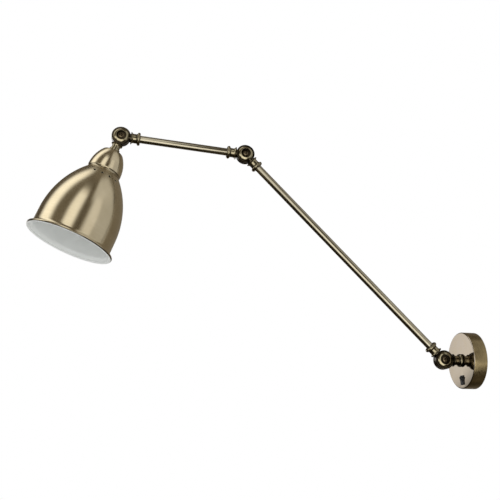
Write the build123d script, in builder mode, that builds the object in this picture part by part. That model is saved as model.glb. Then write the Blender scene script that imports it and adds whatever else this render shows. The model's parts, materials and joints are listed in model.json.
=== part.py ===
"""Swing arm wall sconce: wall canopy with switch, two tube arms, three knuckle joints, bell shade.

Origin at the centre of the canopy's back on the wall, the wall is the plane Y = 0, the lamp
reaches out along -Y and +Z is up. All arms lie in the plane X = 0 and hinge about X.
"""
from build123d import *
from math import atan2, cos, degrees, radians, sin, sqrt
import os

# Pose of the arms, in degrees
long_arm_tilt = 45.4  # rise of the long arm above the horizontal
short_arm_tilt = 3.75  # rise of the short arm above the horizontal
shade_tilt = 20.65  # lean of the shade's axis outward from straight down

# Arms, measured between knuckle axes
long_arm_length = 463.0
short_arm_length = 203.0
tube_radius = 6.0
tube_wall = 1.0

# Fits
thread_fit = 0.05  # play between screwed pieces of one body
running_fit = 0.05  # radial play of a pivot, and play of a face that turns
seat_fit = 0.1  # play of a piece that drops into its place

# Wall canopy
canopy_radius = 45.0
canopy_depth = 22.0
canopy_wall = 1.2
canopy_edge = 1.6

# Knuckle: two half discs on one screw
disc_radius = 15.0
disc_clearance = 0.5  # from a shoulder to the other half's disc
knuckle_width = 16.5  # over both halves
friction_thickness = 0.8
disc_round = 0.8  # rounded edge of the disc's flange
crown_foot = 11.9  # raised crown on the disc's face, by its radii
crown_top = 8.3
crown_rise = 2.1
crown_bulge = 0.25
recess_radius = 7.7
recess_depth = 3.75
recess_floor_thickness = 1.3
cavity_wall = 4.0
boss_radius = 4.6
web_length = 5.5
web_radius = 7.0
shoulder_radius = 10.0
shoulder_width = 1.2
neck_radius = 7.5
neck_flare = 3.2
neck_length = 4.6
cable_play = 0.3
passage_radius = 1.3
spigot_reach = 15.5  # length of the threaded spigot past the neck

# Collar bead behind each neck
collar_length = 6.0
collar_seat = 3.0  # depth of the tube's seat in the collar
collar_lip = 0.4  # how far the collar's foot stands out from the neck
bead_radius = 10.5
bead_crown = 0.8
bead_width = 3.8
bead_foot = 0.6

# Pivot hardware
screw_radius = 2.0
screw_head_radius = 3.7
screw_head_height = 2.3
screw_head_round = 0.75
screw_drive_length = 4.6
screw_drive_width = 0.9
screw_drive_depth = 1.2
washer_radius = 4.6
washer_thickness = 0.7
pivot_nut_width = 7.0
pivot_nut_height = 2.2
screw_tip = 0.4  # thread showing past the nut
friction_inset = 0.6  # from the friction ring to the edges of its land

# Swivel behind the canopy's front
swivel_washer_radius = 10.0
swivel_washer_thickness = 1.0
swivel_spring_radius = 9.0
swivel_spring_thickness = 1.2
swivel_nut_width = 14.0
swivel_nut_height = 4.0

# Mounting bracket
strap_width = 22.0
strap_thickness = 1.5
strap_gap = 0.3  # from the ears to the inside of the canopy
ear_width = 12.0
ear_depth = 11.0
ear_bend = 1.0
wall_slot_spacing = 54.0
wall_slot_width = 4.5
wall_slot_length = 9.0
supply_hole_radius = 5.0
canopy_screw_radius = 1.5
canopy_screw_length = 6.0
canopy_screw_inset = 6.5  # from the wall to the screws' axis
canopy_screw_sink = 0.2
screw_socket_radius = 0.75
screw_socket_depth = 1.6
earth_screw_height = -13.0
earth_screw_radius = 1.75
earth_head_radius = 3.5
earth_head_height = 2.4
earth_head_round = 0.8

# Terminal block on the bracket
block_width = 20.0
block_height = 10.0
block_depth = 8.5
block_centre = 14.0
block_edge = 0.8
pole_spacing = 12.0
pole_radius = 1.6
block_screw_radius = 1.25
block_screw_head = 2.4
block_screw_sink = 2.5
clamp_screw_radius = 1.3
clamp_screw_length = 4.0
clamp_spacing = 5.0

# Rocker switch, below the middle of the canopy
switch_height = -31.5
bezel_width = 10.0
bezel_height = 15.0
bezel_rise = 1.4
bezel_corner = 0.8
bezel_overlap = 0.8
switch_depth = 11.0
switch_wall = 0.6
well_depth = 3.8
rocker_play = 0.2
rocker_end_play = 0.6
rocker_taper = 0.4
rocker_rise = 2.9
rocker_dish = 2.4
rocker_keel = 2.0
rocker_keel_depth = 2.6
rocker_pivot_depth = 0.6
rocker_tilt = 10.0
trunnion_radius = 0.8
trunnion_length = 0.4
terminal_width = 4.7
terminal_thickness = 0.8
terminal_length = 4.0
terminal_spacing = 7.0
lead_radius = 1.1
lead_bend = 2.4

# Cables inside the tubes
cable_radius = 2.5
cable_inset = 1.0

# Shade: distances along its axis from the head knuckle, radii about that axis
stem_neck_radius = 6.7
stem_shoulder_radius = 9.2
stem_spigot_reach = 21.0
stem_collar_radius = 8.3
stem_collar_length = 6.0
stem_collar_edge = 0.8
cap_flat = 12.5
cap_corner_drop = 2.7
cap_corner_radius = 17.3
cap_drop = 33.5
cap_radius = 27.0
cap_skirt = 2.0
waist_drop = 2.0
waist_radius = 26.0
waist_length = 2.2
waist_flare = 0.2
bell_radius = 62.2
bell_height = 94.8
bell_straight = 20.8
lip_length = 7.5
lip_width = 4.5
lip_bead = 2.3
shade_wall = 0.9
vent_count = 18
vent_radius = 2.2
vent_drop = 11.8  # from the top of the bell
vent_phase = 13.3
vent_drill_length = 8.0
shade_washer_radius = 9.5
shade_washer_thickness = 1.2
shade_nut_width = 14.0
shade_nut_height = 4.0

# Lamp holder, in the same distances and radii
holder_gap = 1.0
holder_throat = 8.0
holder_throat_length = 5.0
holder_dome = 10.0
holder_radius = 19.5
holder_skirt = 7.0
holder_wall = 1.6
body_length = 36.0
body_lip = 4.0
body_wall = 1.8
body_taper = 1.0
insert_height = 9.0
insert_round = 1.0
shell_bore = 13.3
shell_wall = 0.6
shell_length = 24.0
shell_clearance = 0.3  # above the insert
contact_radius = 4.0
contact_height = 2.5
contact_round = 1.2
contact_fit = 0.1

os.makedirs("parts", exist_ok=True)


def save(piece, name):
    """Label a finished piece and write it as a STEP file of the same name."""
    piece.label = name
    export_step(piece, f"parts/{name}.step")


def in_arm_plane(tilt):
    """Unit vector in the plane X = 0 that rises by tilt degrees from straight out of the wall."""
    return Vector(0, -cos(radians(tilt)), sin(radians(tilt)))


# Knuckle sizes that follow from the ones above
seat = friction_thickness / 2
disc_face = knuckle_width / 2
flange_face = disc_face - crown_rise
crown_slope = Vector(crown_foot - crown_top, crown_rise).normalized()
crown_middle = Vector(crown_foot + crown_top, flange_face + disc_face) / 2
recess_floor = disc_face - recess_depth
cavity_radius = disc_radius - cavity_wall
cavity_depth = recess_floor - recess_floor_thickness - seat
shoulder_start = disc_radius + disc_clearance
shoulder_end = shoulder_start + shoulder_width
web_start = shoulder_start - web_length
neck_start = shoulder_end + neck_flare
neck_end = neck_start + neck_length
cable_bore = cable_radius + cable_play
spigot_radius = tube_radius - tube_wall - thread_fit
spigot_hole = spigot_radius + thread_fit
collar_end = neck_end + collar_length
tube_start = collar_end - collar_seat
cable_start = shoulder_start + cable_inset

# Joint centres and directions
near_side = Vector(1, 0, 0)
far_side = Vector(-1, 0, 0)
to_wall = Vector(0, 1, 0)
long_way = in_arm_plane(long_arm_tilt)
short_way = in_arm_plane(short_arm_tilt)
shade_way = in_arm_plane(shade_tilt - 90)
wall_joint = Vector(0, -(canopy_depth + collar_end), 0)
elbow_joint = wall_joint + long_way * long_arm_length
head_joint = elbow_joint + short_way * short_arm_length


def along(joint, way, distance):
    """Point at a distance from a joint along a direction."""
    return joint + way * distance


def knuckle_half(joint, way, side, shoulder, neck, spigot):
    """One half of a knuckle: a disc beside the joint's middle plane and a round neck along way."""
    disc_plane = Plane(origin=joint, x_dir=way, z_dir=side)
    section_plane = Plane(origin=joint, x_dir=way, z_dir=way.cross(side))
    spigot_end = neck_end + spigot
    crown_side = crown_middle + Vector(crown_slope.Y, crown_slope.X) * crown_bulge
    with BuildPart() as half:
        # Disc with a flat flange, a raised crown and a recess for the screw or nut
        with BuildSketch(section_plane):
            with BuildLine():
                Polyline((0, seat), (disc_radius, seat), (disc_radius, flange_face - disc_round))
                TangentArc(
                    (disc_radius, flange_face - disc_round),
                    (disc_radius - disc_round, flange_face),
                    tangent=(0, 1),
                )
                Polyline((disc_radius - disc_round, flange_face), (crown_foot, flange_face))
                ThreePointArc((crown_foot, flange_face), crown_side, (crown_top, disc_face))
                Polyline(
                    (crown_top, disc_face),
                    (recess_radius, disc_face),
                    (recess_radius, recess_floor),
                    (0, recess_floor),
                    (0, seat),
                )
            make_face()
        revolve(axis=Axis(joint, side))
        # Neck with its shoulder, waist and threaded spigot
        with BuildSketch(disc_plane):
            with BuildLine():
                Polyline(
                    (web_start, 0),
                    (web_start, web_radius),
                    (shoulder_start, web_radius),
                    (shoulder_start, shoulder),
                    (shoulder_end, shoulder),
                )
                TangentArc((neck_start, neck), (shoulder_end, shoulder), tangent=(-1, 0))
                Polyline(
                    (neck_start, neck),
                    (neck_end, neck),
                    (neck_end, spigot_radius),
                    (spigot_end, spigot_radius),
                    (spigot_end, 0),
                    (web_start, 0),
                )
            make_face()
        revolve(axis=Axis(joint, way))
        # Room for the other half's disc
        with BuildSketch(disc_plane.offset(seat)):
            Circle(shoulder_start)
        extrude(amount=-(seat + shoulder), mode=Mode.SUBTRACT)
        # Cable chamber round the pivot boss, the pivot hole and the bored neck
        with BuildSketch(disc_plane.offset(seat)):
            Circle(cavity_radius)
            Circle(boss_radius, mode=Mode.SUBTRACT)
        extrude(amount=cavity_depth, mode=Mode.SUBTRACT)
        with BuildSketch(disc_plane):
            Circle(screw_radius + running_fit)
        extrude(amount=disc_face, mode=Mode.SUBTRACT)
        with BuildSketch(Plane(origin=along(joint, way, shoulder_start), x_dir=side, z_dir=way)):
            Circle(cable_bore)
        extrude(amount=spigot_end - shoulder_start, mode=Mode.SUBTRACT)
        passage_start = cavity_radius - passage_radius
        with BuildSketch(Plane(origin=along(joint, way, passage_start), x_dir=side, z_dir=way)):
            with Locations((seat + cavity_depth / 2, 0)):
                Circle(passage_radius)
        extrude(amount=neck_start - passage_start, mode=Mode.SUBTRACT)
    return half.part


def collar_bead(joint, way):
    """Round bead that hides the join between a neck and what it screws into."""
    bead_start = collar_end - bead_foot - bead_width
    bead_end = collar_end - bead_foot
    bead_middle = (bead_start + bead_end) / 2
    bead_edge = bead_radius - bead_crown
    collar_foot = neck_radius + collar_lip
    seat_hole = tube_radius + thread_fit
    with BuildPart() as collar:
        with BuildSketch(Plane(origin=joint, x_dir=way, z_dir=near_side)):
            with BuildLine():
                TangentArc((neck_end, collar_foot), (bead_start, bead_edge), tangent=(1, 0))
                ThreePointArc((bead_start, bead_edge), (bead_middle, bead_radius), (bead_end, bead_edge))
                Polyline(
                    (bead_end, bead_edge),
                    (collar_end, bead_edge - bead_foot),
                    (collar_end, seat_hole),
                    (tube_start, seat_hole),
                    (tube_start, spigot_hole),
                    (neck_end, spigot_hole),
                    (neck_end, collar_foot),
                )
            make_face()
        revolve(axis=Axis(joint, way))
    return collar.part


def ring(centre, way, outer, inner, thickness):
    """Flat ring that starts at centre and is thickness deep along way."""
    with BuildPart() as flat_ring:
        with BuildSketch(Plane(origin=centre, z_dir=way)):
            Circle(outer)
            Circle(inner, mode=Mode.SUBTRACT)
        extrude(amount=thickness)
    return flat_ring.part


def split_ring(centre, way, outer, inner, thickness):
    """Spring washer: a ring with a slot cut through one side."""
    with BuildPart() as washer:
        with BuildSketch(Plane(origin=centre, z_dir=way)):
            Circle(outer)
            Circle(inner, mode=Mode.SUBTRACT)
            with Locations((outer, 0)):
                Rectangle(2 * outer, thickness, mode=Mode.SUBTRACT)
        extrude(amount=thickness)
    return washer.part


def hex_nut(centre, way, width, bore, height):
    """Hexagon nut of the given width across flats."""
    with BuildPart() as nut:
        with BuildSketch(Plane(origin=centre, z_dir=way)):
            RegularPolygon(width / 2, 6, major_radius=False)
            Circle(bore, mode=Mode.SUBTRACT)
        extrude(amount=height)
    return nut.part


def rod(start, way, radius, length):
    """Plain round bar, used for cables."""
    with BuildPart() as bar:
        with BuildSketch(Plane(origin=start, z_dir=way)):
            Circle(radius)
        extrude(amount=length)
    return bar.part


def pivot_set(name, joint):
    """Screw, washers, nut and friction ring of one knuckle, from the near side to the far side."""
    head_seat = recess_floor + washer_thickness
    spring_seat = recess_floor + running_fit
    nut_seat = spring_seat + washer_thickness
    shank_end = nut_seat + pivot_nut_height + screw_tip
    head_plane = Plane(origin=along(joint, near_side, head_seat), x_dir=to_wall, z_dir=near_side)
    with BuildPart() as screw:
        with BuildSketch(head_plane):
            Circle(screw_head_radius)
        extrude(amount=screw_head_height)
        fillet(screw.edges().sort_by(Axis.X)[-1], radius=screw_head_round)
        with BuildSketch(head_plane.offset(screw_head_height)):
            Rectangle(screw_drive_length, screw_drive_width)
            Rectangle(screw_drive_width, screw_drive_length)
        extrude(amount=-screw_drive_depth, mode=Mode.SUBTRACT)
        with BuildSketch(head_plane):
            Circle(screw_radius)
        extrude(amount=-(head_seat + shank_end))
    hole = screw_radius + thread_fit
    washer = ring(along(joint, near_side, recess_floor), near_side, washer_radius, hole, washer_thickness)
    spring = split_ring(along(joint, far_side, spring_seat), far_side, washer_radius, hole, washer_thickness)
    nut = hex_nut(along(joint, far_side, nut_seat), far_side, pivot_nut_width, hole, pivot_nut_height)
    friction_outer = disc_radius - friction_inset
    friction_inner = cavity_radius + friction_inset
    friction_depth = friction_thickness - running_fit
    friction_start = along(joint, near_side, seat)
    friction_ring = ring(friction_start, far_side, friction_outer, friction_inner, friction_depth)
    save(screw.part, f"{name}_pivot_screw")
    save(washer, f"{name}_pivot_washer")
    save(spring, f"{name}_spring_washer")
    save(nut, f"{name}_pivot_nut")
    save(friction_ring, f"{name}_friction_ring")


def tube_arm(name, start_joint, way, length, start_name, end_name):
    """Tube between two knuckle halves with their collars, and the cable inside."""
    end_joint = along(start_joint, way, length)
    start_half = knuckle_half(start_joint, way, far_side, shoulder_radius, neck_radius, spigot_reach)
    end_half = knuckle_half(end_joint, -way, near_side, shoulder_radius, neck_radius, spigot_reach)
    tube_bore = tube_radius - tube_wall
    tube = ring(along(start_joint, way, tube_start), way, tube_radius, tube_bore, length - 2 * tube_start)
    cable = rod(along(start_joint, way, cable_start), way, cable_radius, length - 2 * cable_start)
    save(start_half, f"{name}_{start_name}_knuckle")
    save(collar_bead(start_joint, way), f"{name}_{start_name}_collar")
    save(tube, f"{name}_tube")
    save(collar_bead(end_joint, -way), f"{name}_{end_name}_collar")
    save(end_half, f"{name}_{end_name}_knuckle")
    save(cable, f"{name}_cable")


# Wall canopy: a round cup open to the wall, with the swivel hole, the switch's opening and two screw holes
canopy_inside = canopy_depth - canopy_wall
switch_width = bezel_width - 2 * bezel_overlap
switch_length = bezel_height - 2 * bezel_overlap
switch_centre = (0, switch_height)
with BuildPart() as canopy:
    with BuildSketch(Plane.XZ):
        Circle(canopy_radius)
    extrude(amount=canopy_depth)
    fillet(canopy.faces().sort_by(Axis.Y)[0].edges(), radius=canopy_edge)
    with BuildSketch(Plane.XZ):
        Circle(canopy_radius - canopy_wall)
    extrude(amount=canopy_inside, mode=Mode.SUBTRACT)
    with BuildSketch(Plane.XZ.offset(canopy_inside)):
        Circle(spigot_radius + running_fit)
        with Locations(switch_centre):
            Rectangle(switch_width + 2 * seat_fit, switch_length + 2 * seat_fit)
    extrude(amount=canopy_wall, mode=Mode.SUBTRACT)
    with BuildSketch(Plane.XY):
        with Locations((0, -canopy_screw_inset)):
            Circle(canopy_screw_radius + seat_fit)
    extrude(amount=canopy_radius, both=True, mode=Mode.SUBTRACT)
save(canopy.part, "wall_canopy")

# Mounting bracket: a strap against the wall with two slots, folded up at both ends
bracket_room = canopy_radius - canopy_wall - strap_gap
ear_outside = sqrt(bracket_room**2 - (ear_width / 2) ** 2)
strap_reach = sqrt(bracket_room**2 - (strap_width / 2) ** 2)
with BuildPart() as bracket:
    with BuildSketch(Plane.XZ):
        Rectangle(strap_width, 2 * strap_reach)
        Rectangle(ear_width, 2 * ear_outside)
    extrude(amount=strap_thickness)
    with BuildSketch(Plane.XZ):
        for way_up in (1, -1):
            with Locations((0, way_up * (ear_outside - strap_thickness / 2))):
                Rectangle(ear_width, strap_thickness)
    extrude(amount=ear_depth)
    fillet(bracket.edges().filter_by(Axis.X).group_by(Axis.Y)[-1].sort_by(Axis.Z)[0], radius=ear_bend)
    fillet(bracket.edges().filter_by(Axis.X).group_by(Axis.Y)[-1].sort_by(Axis.Z)[-1], radius=ear_bend)
    with BuildSketch(Plane.XZ):
        for way_up in (1, -1):
            with Locations((0, way_up * wall_slot_spacing / 2)):
                SlotOverall(wall_slot_length, wall_slot_width, rotation=90)
        Circle(supply_hole_radius)
        with Locations((0, block_centre)):
            Circle(block_screw_radius + thread_fit)
        with Locations((0, earth_screw_height)):
            Circle(earth_screw_radius + thread_fit)
    extrude(amount=strap_thickness, mode=Mode.SUBTRACT)
    with BuildSketch(Plane.XY):
        with Locations((0, -canopy_screw_inset)):
            Circle(canopy_screw_radius + thread_fit)
    extrude(amount=canopy_radius, both=True, mode=Mode.SUBTRACT)
save(bracket.part, "mounting_bracket")

# Two grub screws through the canopy's side into the bracket's ears
screw_outside = canopy_radius - canopy_screw_sink
with BuildPart() as canopy_screws:
    for way_up in (1, -1):
        screw_plane = Plane(
            origin=(0, -canopy_screw_inset, way_up * screw_outside), x_dir=(1, 0, 0), z_dir=(0, 0, -way_up)
        )
        with BuildSketch(screw_plane):
            Circle(canopy_screw_radius)
        extrude(amount=canopy_screw_length)
        with BuildSketch(screw_plane):
            RegularPolygon(screw_socket_radius, 6)
        extrude(amount=screw_socket_depth, mode=Mode.SUBTRACT)
save(canopy_screws.part, "canopy_screws")

# Earth screw in the bracket
with BuildPart() as earth_screw:
    with BuildSketch(Plane.XZ):
        with Locations((0, earth_screw_height)):
            Circle(earth_screw_radius)
    extrude(amount=strap_thickness)
    with BuildSketch(Plane.XZ.offset(strap_thickness)):
        with Locations((0, earth_screw_height)):
            Circle(earth_head_radius)
    extrude(amount=earth_head_height)
    fillet(earth_screw.edges().sort_by(Axis.Y)[0], radius=earth_head_round)
    with BuildSketch(Plane.XZ.offset(strap_thickness + earth_head_height)):
        with Locations((0, earth_screw_height)):
            Rectangle(2 * earth_head_radius, screw_drive_width)
    extrude(amount=-screw_drive_depth, mode=Mode.SUBTRACT)
save(earth_screw.part, "earth_screw")

# Terminal block: two poles with a wire hole each, screwed to the bracket
block_top = strap_thickness + block_depth
pole_places = [(-pole_spacing / 2, block_centre), (pole_spacing / 2, block_centre)]
clamp_places = [(x, z + step) for x, z in pole_places for step in (-clamp_spacing / 2, clamp_spacing / 2)]
with BuildPart() as block:
    with BuildSketch(Plane.XZ.offset(strap_thickness)):
        with Locations((0, block_centre)):
            Rectangle(block_width, block_height)
    extrude(amount=block_depth)
    fillet(block.edges().filter_by(Axis.Y), radius=block_edge)
    with BuildSketch(Plane.XY.offset(block_centre)):
        for x, z in pole_places:
            with Locations((x, -strap_thickness - block_depth / 2)):
                Circle(pole_radius)
    extrude(amount=block_height, both=True, mode=Mode.SUBTRACT)
    with BuildSketch(Plane.XZ.offset(block_top)):
        for place in clamp_places:
            with Locations(place):
                Circle(clamp_screw_radius + thread_fit)
    extrude(amount=-block_depth / 2, mode=Mode.SUBTRACT)
    with BuildSketch(Plane.XZ.offset(strap_thickness)):
        with Locations((0, block_centre)):
            Circle(block_screw_radius + thread_fit)
    extrude(amount=block_depth, mode=Mode.SUBTRACT)
    with BuildSketch(Plane.XZ.offset(block_top)):
        with Locations((0, block_centre)):
            Circle(block_screw_head + seat_fit)
    extrude(amount=-block_screw_sink, mode=Mode.SUBTRACT)
save(block.part, "terminal_block")

# Screw that holds the block to the bracket
with BuildPart() as block_screw:
    with BuildSketch(Plane.XZ):
        with Locations((0, block_centre)):
            Circle(block_screw_radius)
    extrude(amount=block_top - block_screw_sink)
    with BuildSketch(Plane.XZ.offset(block_top - block_screw_sink)):
        with Locations((0, block_centre)):
            Circle(block_screw_head)
    extrude(amount=block_screw_sink)
    with BuildSketch(Plane.XZ.offset(block_top)):
        with Locations((0, block_centre)):
            Rectangle(2 * block_screw_head, screw_drive_width)
    extrude(amount=-screw_drive_depth, mode=Mode.SUBTRACT)
save(block_screw.part, "block_screw")

# Four clamp screws in the block, one at each end of each pole
with BuildPart() as clamp_screws:
    with BuildSketch(Plane.XZ.offset(block_top)):
        for place in clamp_places:
            with Locations(place):
                Circle(clamp_screw_radius)
    extrude(amount=-clamp_screw_length)
    with BuildSketch(Plane.XZ.offset(block_top)):
        for place in clamp_places:
            with Locations(place):
                Rectangle(2 * clamp_screw_radius, clamp_screw_radius / 2)
    extrude(amount=-clamp_screw_radius, mode=Mode.SUBTRACT)
save(clamp_screws.part, "terminal_screws")

# Switch housing: a bezel on the canopy's front and a body behind it with a well for the rocker
well_width = switch_width - 2 * switch_wall
well_length = switch_length - 2 * switch_wall
switch_face = Plane.XZ.offset(canopy_depth)
rocker_pivot = Vector(0, -(canopy_depth - rocker_pivot_depth), switch_height)
with BuildPart() as switch_housing:
    with BuildSketch(switch_face):
        with Locations(switch_centre):
            RectangleRounded(bezel_width, bezel_height, bezel_corner)
    extrude(amount=bezel_rise)
    with BuildSketch(switch_face):
        with Locations(switch_centre):
            Rectangle(switch_width, switch_length)
    extrude(amount=-switch_depth)
    with BuildSketch(switch_face.offset(bezel_rise)):
        with Locations(switch_centre):
            Rectangle(well_width, well_length)
    extrude(amount=-(bezel_rise + well_depth), mode=Mode.SUBTRACT)
    with BuildSketch(Plane(origin=rocker_pivot, z_dir=near_side)):
        Circle(trunnion_radius + running_fit)
    extrude(amount=well_width / 2 + trunnion_length, both=True, mode=Mode.SUBTRACT)
save(switch_housing.part, "switch_housing")

# Rocker: a dished cap that see-saws on two trunnions, stored with its top end out
rocker_width = well_width - 2 * rocker_play
rocker_half_length = well_length / 2 - rocker_end_play
rocker_foot = rocker_half_length - rocker_taper
rocker_plane = Plane(
    origin=rocker_pivot,
    x_dir=(0, -sin(radians(rocker_tilt)), cos(radians(rocker_tilt))),
    z_dir=near_side,
)
with BuildPart() as rocker:
    with BuildSketch(rocker_plane):
        with BuildLine():
            ThreePointArc(
                (-rocker_half_length, rocker_rise + rocker_pivot_depth),
                (0, rocker_dish + rocker_pivot_depth),
                (rocker_half_length, rocker_rise + rocker_pivot_depth),
            )
            Polyline(
                (rocker_half_length, rocker_rise + rocker_pivot_depth),
                (rocker_foot, 0),
                (rocker_keel, rocker_pivot_depth - rocker_keel_depth),
                (-rocker_keel, rocker_pivot_depth - rocker_keel_depth),
                (-rocker_foot, 0),
                (-rocker_half_length, rocker_rise + rocker_pivot_depth),
            )
        make_face()
    extrude(amount=rocker_width / 2, both=True)
    with BuildSketch(rocker_plane):
        Circle(trunnion_radius)
    extrude(amount=well_width / 2 + trunnion_length - running_fit, both=True)
save(rocker.part, "switch_rocker")

# Two blade terminals on the back of the switch
switch_back = switch_face.offset(-switch_depth)
with BuildPart() as terminals:
    with BuildSketch(switch_back):
        for way_up in (1, -1):
            with Locations((0, switch_height + way_up * terminal_spacing / 2)):
                Rectangle(terminal_width, terminal_thickness)
    extrude(amount=-terminal_length)
save(terminals.part, "switch_terminals")

# Lead from the terminal block down to the switch's upper terminal
pole_side = pole_spacing / 2
pole_depth = strap_thickness + block_depth / 2
terminal_middle = canopy_depth - switch_depth - terminal_length / 2
lead_top = Vector(pole_side, -pole_depth, block_centre - block_height / 2)
lead_end = Vector(terminal_width / 2, -terminal_middle, switch_height + terminal_spacing / 2)
lead_corner = Vector(pole_side, lead_end.Y, lead_end.Z)
lead_knee = Vector(pole_side, -pole_depth, (lead_top.Z + lead_end.Z) / 2)
with BuildPart() as lead:
    with BuildLine():
        FilletPolyline(lead_top, lead_knee, lead_corner, lead_end, radius=lead_bend)
    with BuildSketch(Plane(origin=lead_top, z_dir=(0, 0, -1))):
        Circle(lead_radius)
    sweep()
save(lead.part, "switch_lead")

# Wall knuckle, its collar against the canopy, and the swivel hardware behind the canopy's front
washer_place = along(wall_joint, to_wall, collar_end + canopy_wall + running_fit)
spring_place = along(washer_place, to_wall, swivel_washer_thickness)
nut_place = along(spring_place, to_wall, swivel_spring_thickness)
wall_half = knuckle_half(wall_joint, to_wall, near_side, shoulder_radius, neck_radius, spigot_reach)
fibre_washer = ring(washer_place, to_wall, swivel_washer_radius, spigot_hole, swivel_washer_thickness)
swivel_spring = split_ring(spring_place, to_wall, swivel_spring_radius, spigot_hole, swivel_spring_thickness)
swivel_nut = hex_nut(nut_place, to_wall, swivel_nut_width, spigot_hole, swivel_nut_height)
wall_cable_length = neck_end + spigot_reach - shoulder_start
wall_cable = rod(along(wall_joint, to_wall, cable_start), to_wall, cable_radius, wall_cable_length)
save(wall_half, "wall_knuckle")
save(collar_bead(wall_joint, to_wall), "wall_collar")
save(fibre_washer, "swivel_washer")
save(swivel_spring, "swivel_spring_washer")
save(swivel_nut, "swivel_nut")
save(wall_cable, "wall_cable")
pivot_set("wall", wall_joint)

# The two arms and their pivots
tube_arm("long_arm", wall_joint, long_way, long_arm_length, "lower", "upper")
pivot_set("elbow", elbow_joint)
tube_arm("short_arm", elbow_joint, short_way, short_arm_length, "rear", "front")
pivot_set("head", head_joint)

# Distances along the shade's axis
cap_top = neck_end + stem_collar_length
corner_end = cap_top + cap_corner_drop
cap_bottom = cap_top + cap_drop
skirt_end = cap_bottom + cap_skirt
waist_place = skirt_end + waist_drop
bell_start = waist_place + waist_length
bell_side = bell_start + bell_height
lip_start = bell_side + bell_straight
lip_end = lip_start + lip_length
shade_plane = Plane(origin=head_joint, x_dir=shade_way, z_dir=near_side)
shade_axis = Axis(head_joint, shade_way)


def across_shade(distance):
    """Plane square to the shade's axis, at a distance from the head knuckle."""
    return Plane(origin=along(head_joint, shade_way, distance), x_dir=near_side, z_dir=shade_way)


# Shade's knuckle half with a long spigot, and the plain collar between it and the shade
shade_half = knuckle_half(
    head_joint, shade_way, far_side, stem_shoulder_radius, stem_neck_radius, stem_spigot_reach
)
save(shade_half, "shade_knuckle")
with BuildPart() as stem_collar:
    with BuildSketch(across_shade(neck_end)):
        Circle(stem_collar_radius)
        Circle(spigot_hole, mode=Mode.SUBTRACT)
    extrude(amount=stem_collar_length)
    outer_edges = stem_collar.edges().filter_by(GeomType.CIRCLE).sort_by(SortBy.RADIUS)[-2:]
    fillet(outer_edges, radius=stem_collar_edge)
save(stem_collar.part, "shade_collar")

# Shade: one spun shell. Its outer line runs from the hole in the cap to the flared lip, then gets its wall.
lip_radius = bell_radius + lip_width
bell_start_radius = waist_radius + waist_flare
bell_rise = bell_radius - bell_start_radius
bell_arc = (bell_rise**2 + bell_height**2) / (2 * bell_rise)
vent_side = bell_height - vent_drop
vent_up = sqrt(bell_arc**2 - vent_side**2)
vent_ring = bell_radius - bell_arc + vent_up
vent_lean = degrees(atan2(vent_up, -vent_side))
with BuildPart() as shade:
    with BuildSketch(shade_plane):
        with BuildLine():
            Line((cap_top, spigot_hole), (cap_top, cap_flat))
            corner = TangentArc((cap_top, cap_flat), (corner_end, cap_corner_radius), tangent=(0, 1))
            TangentArc((corner_end, cap_corner_radius), (cap_bottom, cap_radius), tangent=corner % 1)
            Line((cap_bottom, cap_radius), (skirt_end, cap_radius))
            TangentArc((skirt_end, cap_radius), (waist_place, waist_radius), tangent=(1, 0))
            Line((waist_place, waist_radius), (bell_start, bell_start_radius))
            TangentArc((bell_side, bell_radius), (bell_start, bell_start_radius), tangent=(-1, 0))
            Line((bell_side, bell_radius), (lip_start, bell_radius))
            TangentArc((lip_start, bell_radius), (lip_end, lip_radius), tangent=(1, 0))
            offset(amount=shade_wall, side=Side.RIGHT)
        make_face()
    revolve(axis=shade_axis)
    with BuildSketch(shade_plane):
        with Locations((lip_end, lip_radius)):
            Circle(lip_bead)
    revolve(axis=shade_axis)
    with Locations(across_shade(bell_start + vent_drop)):
        with PolarLocations(vent_ring, vent_count, start_angle=vent_phase):
            Cylinder(vent_radius, vent_drill_length, rotation=(0, vent_lean, 0), mode=Mode.SUBTRACT)
save(shade.part, "shade")

# Washer and nut that hold the shade to the spigot
shade_washer_place = cap_top + shade_wall
shade_nut_place = shade_washer_place + shade_washer_thickness
washer_point = along(head_joint, shade_way, shade_washer_place)
nut_point = along(head_joint, shade_way, shade_nut_place)
shade_washer = ring(washer_point, shade_way, shade_washer_radius, spigot_hole, shade_washer_thickness)
shade_nut = hex_nut(nut_point, shade_way, shade_nut_width, spigot_hole, shade_nut_height)
save(shade_washer, "shade_washer")
save(shade_nut, "shade_nut")

# Lamp holder's domed cap, screwed on the spigot below the nut
holder_top = shade_nut_place + shade_nut_height + holder_gap
throat_end = holder_top + holder_throat_length
dome_end = throat_end + holder_dome
skirt_bottom = dome_end + holder_skirt
skirt_inside = holder_radius - holder_wall
with BuildPart() as holder_cap:
    with BuildSketch(shade_plane):
        with BuildLine():
            Polyline((holder_top, spigot_hole), (holder_top, holder_throat), (throat_end, holder_throat))
            TangentArc((dome_end, holder_radius), (throat_end, holder_throat), tangent=(-1, 0))
            Polyline(
                (dome_end, holder_radius),
                (skirt_bottom, holder_radius),
                (skirt_bottom, skirt_inside),
                (dome_end, skirt_inside),
                (throat_end + holder_wall, holder_throat),
                (throat_end + holder_wall, spigot_hole),
                (holder_top, spigot_hole),
            )
        make_face()
    revolve(axis=shade_axis)
save(holder_cap.part, "holder_cap")

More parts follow.
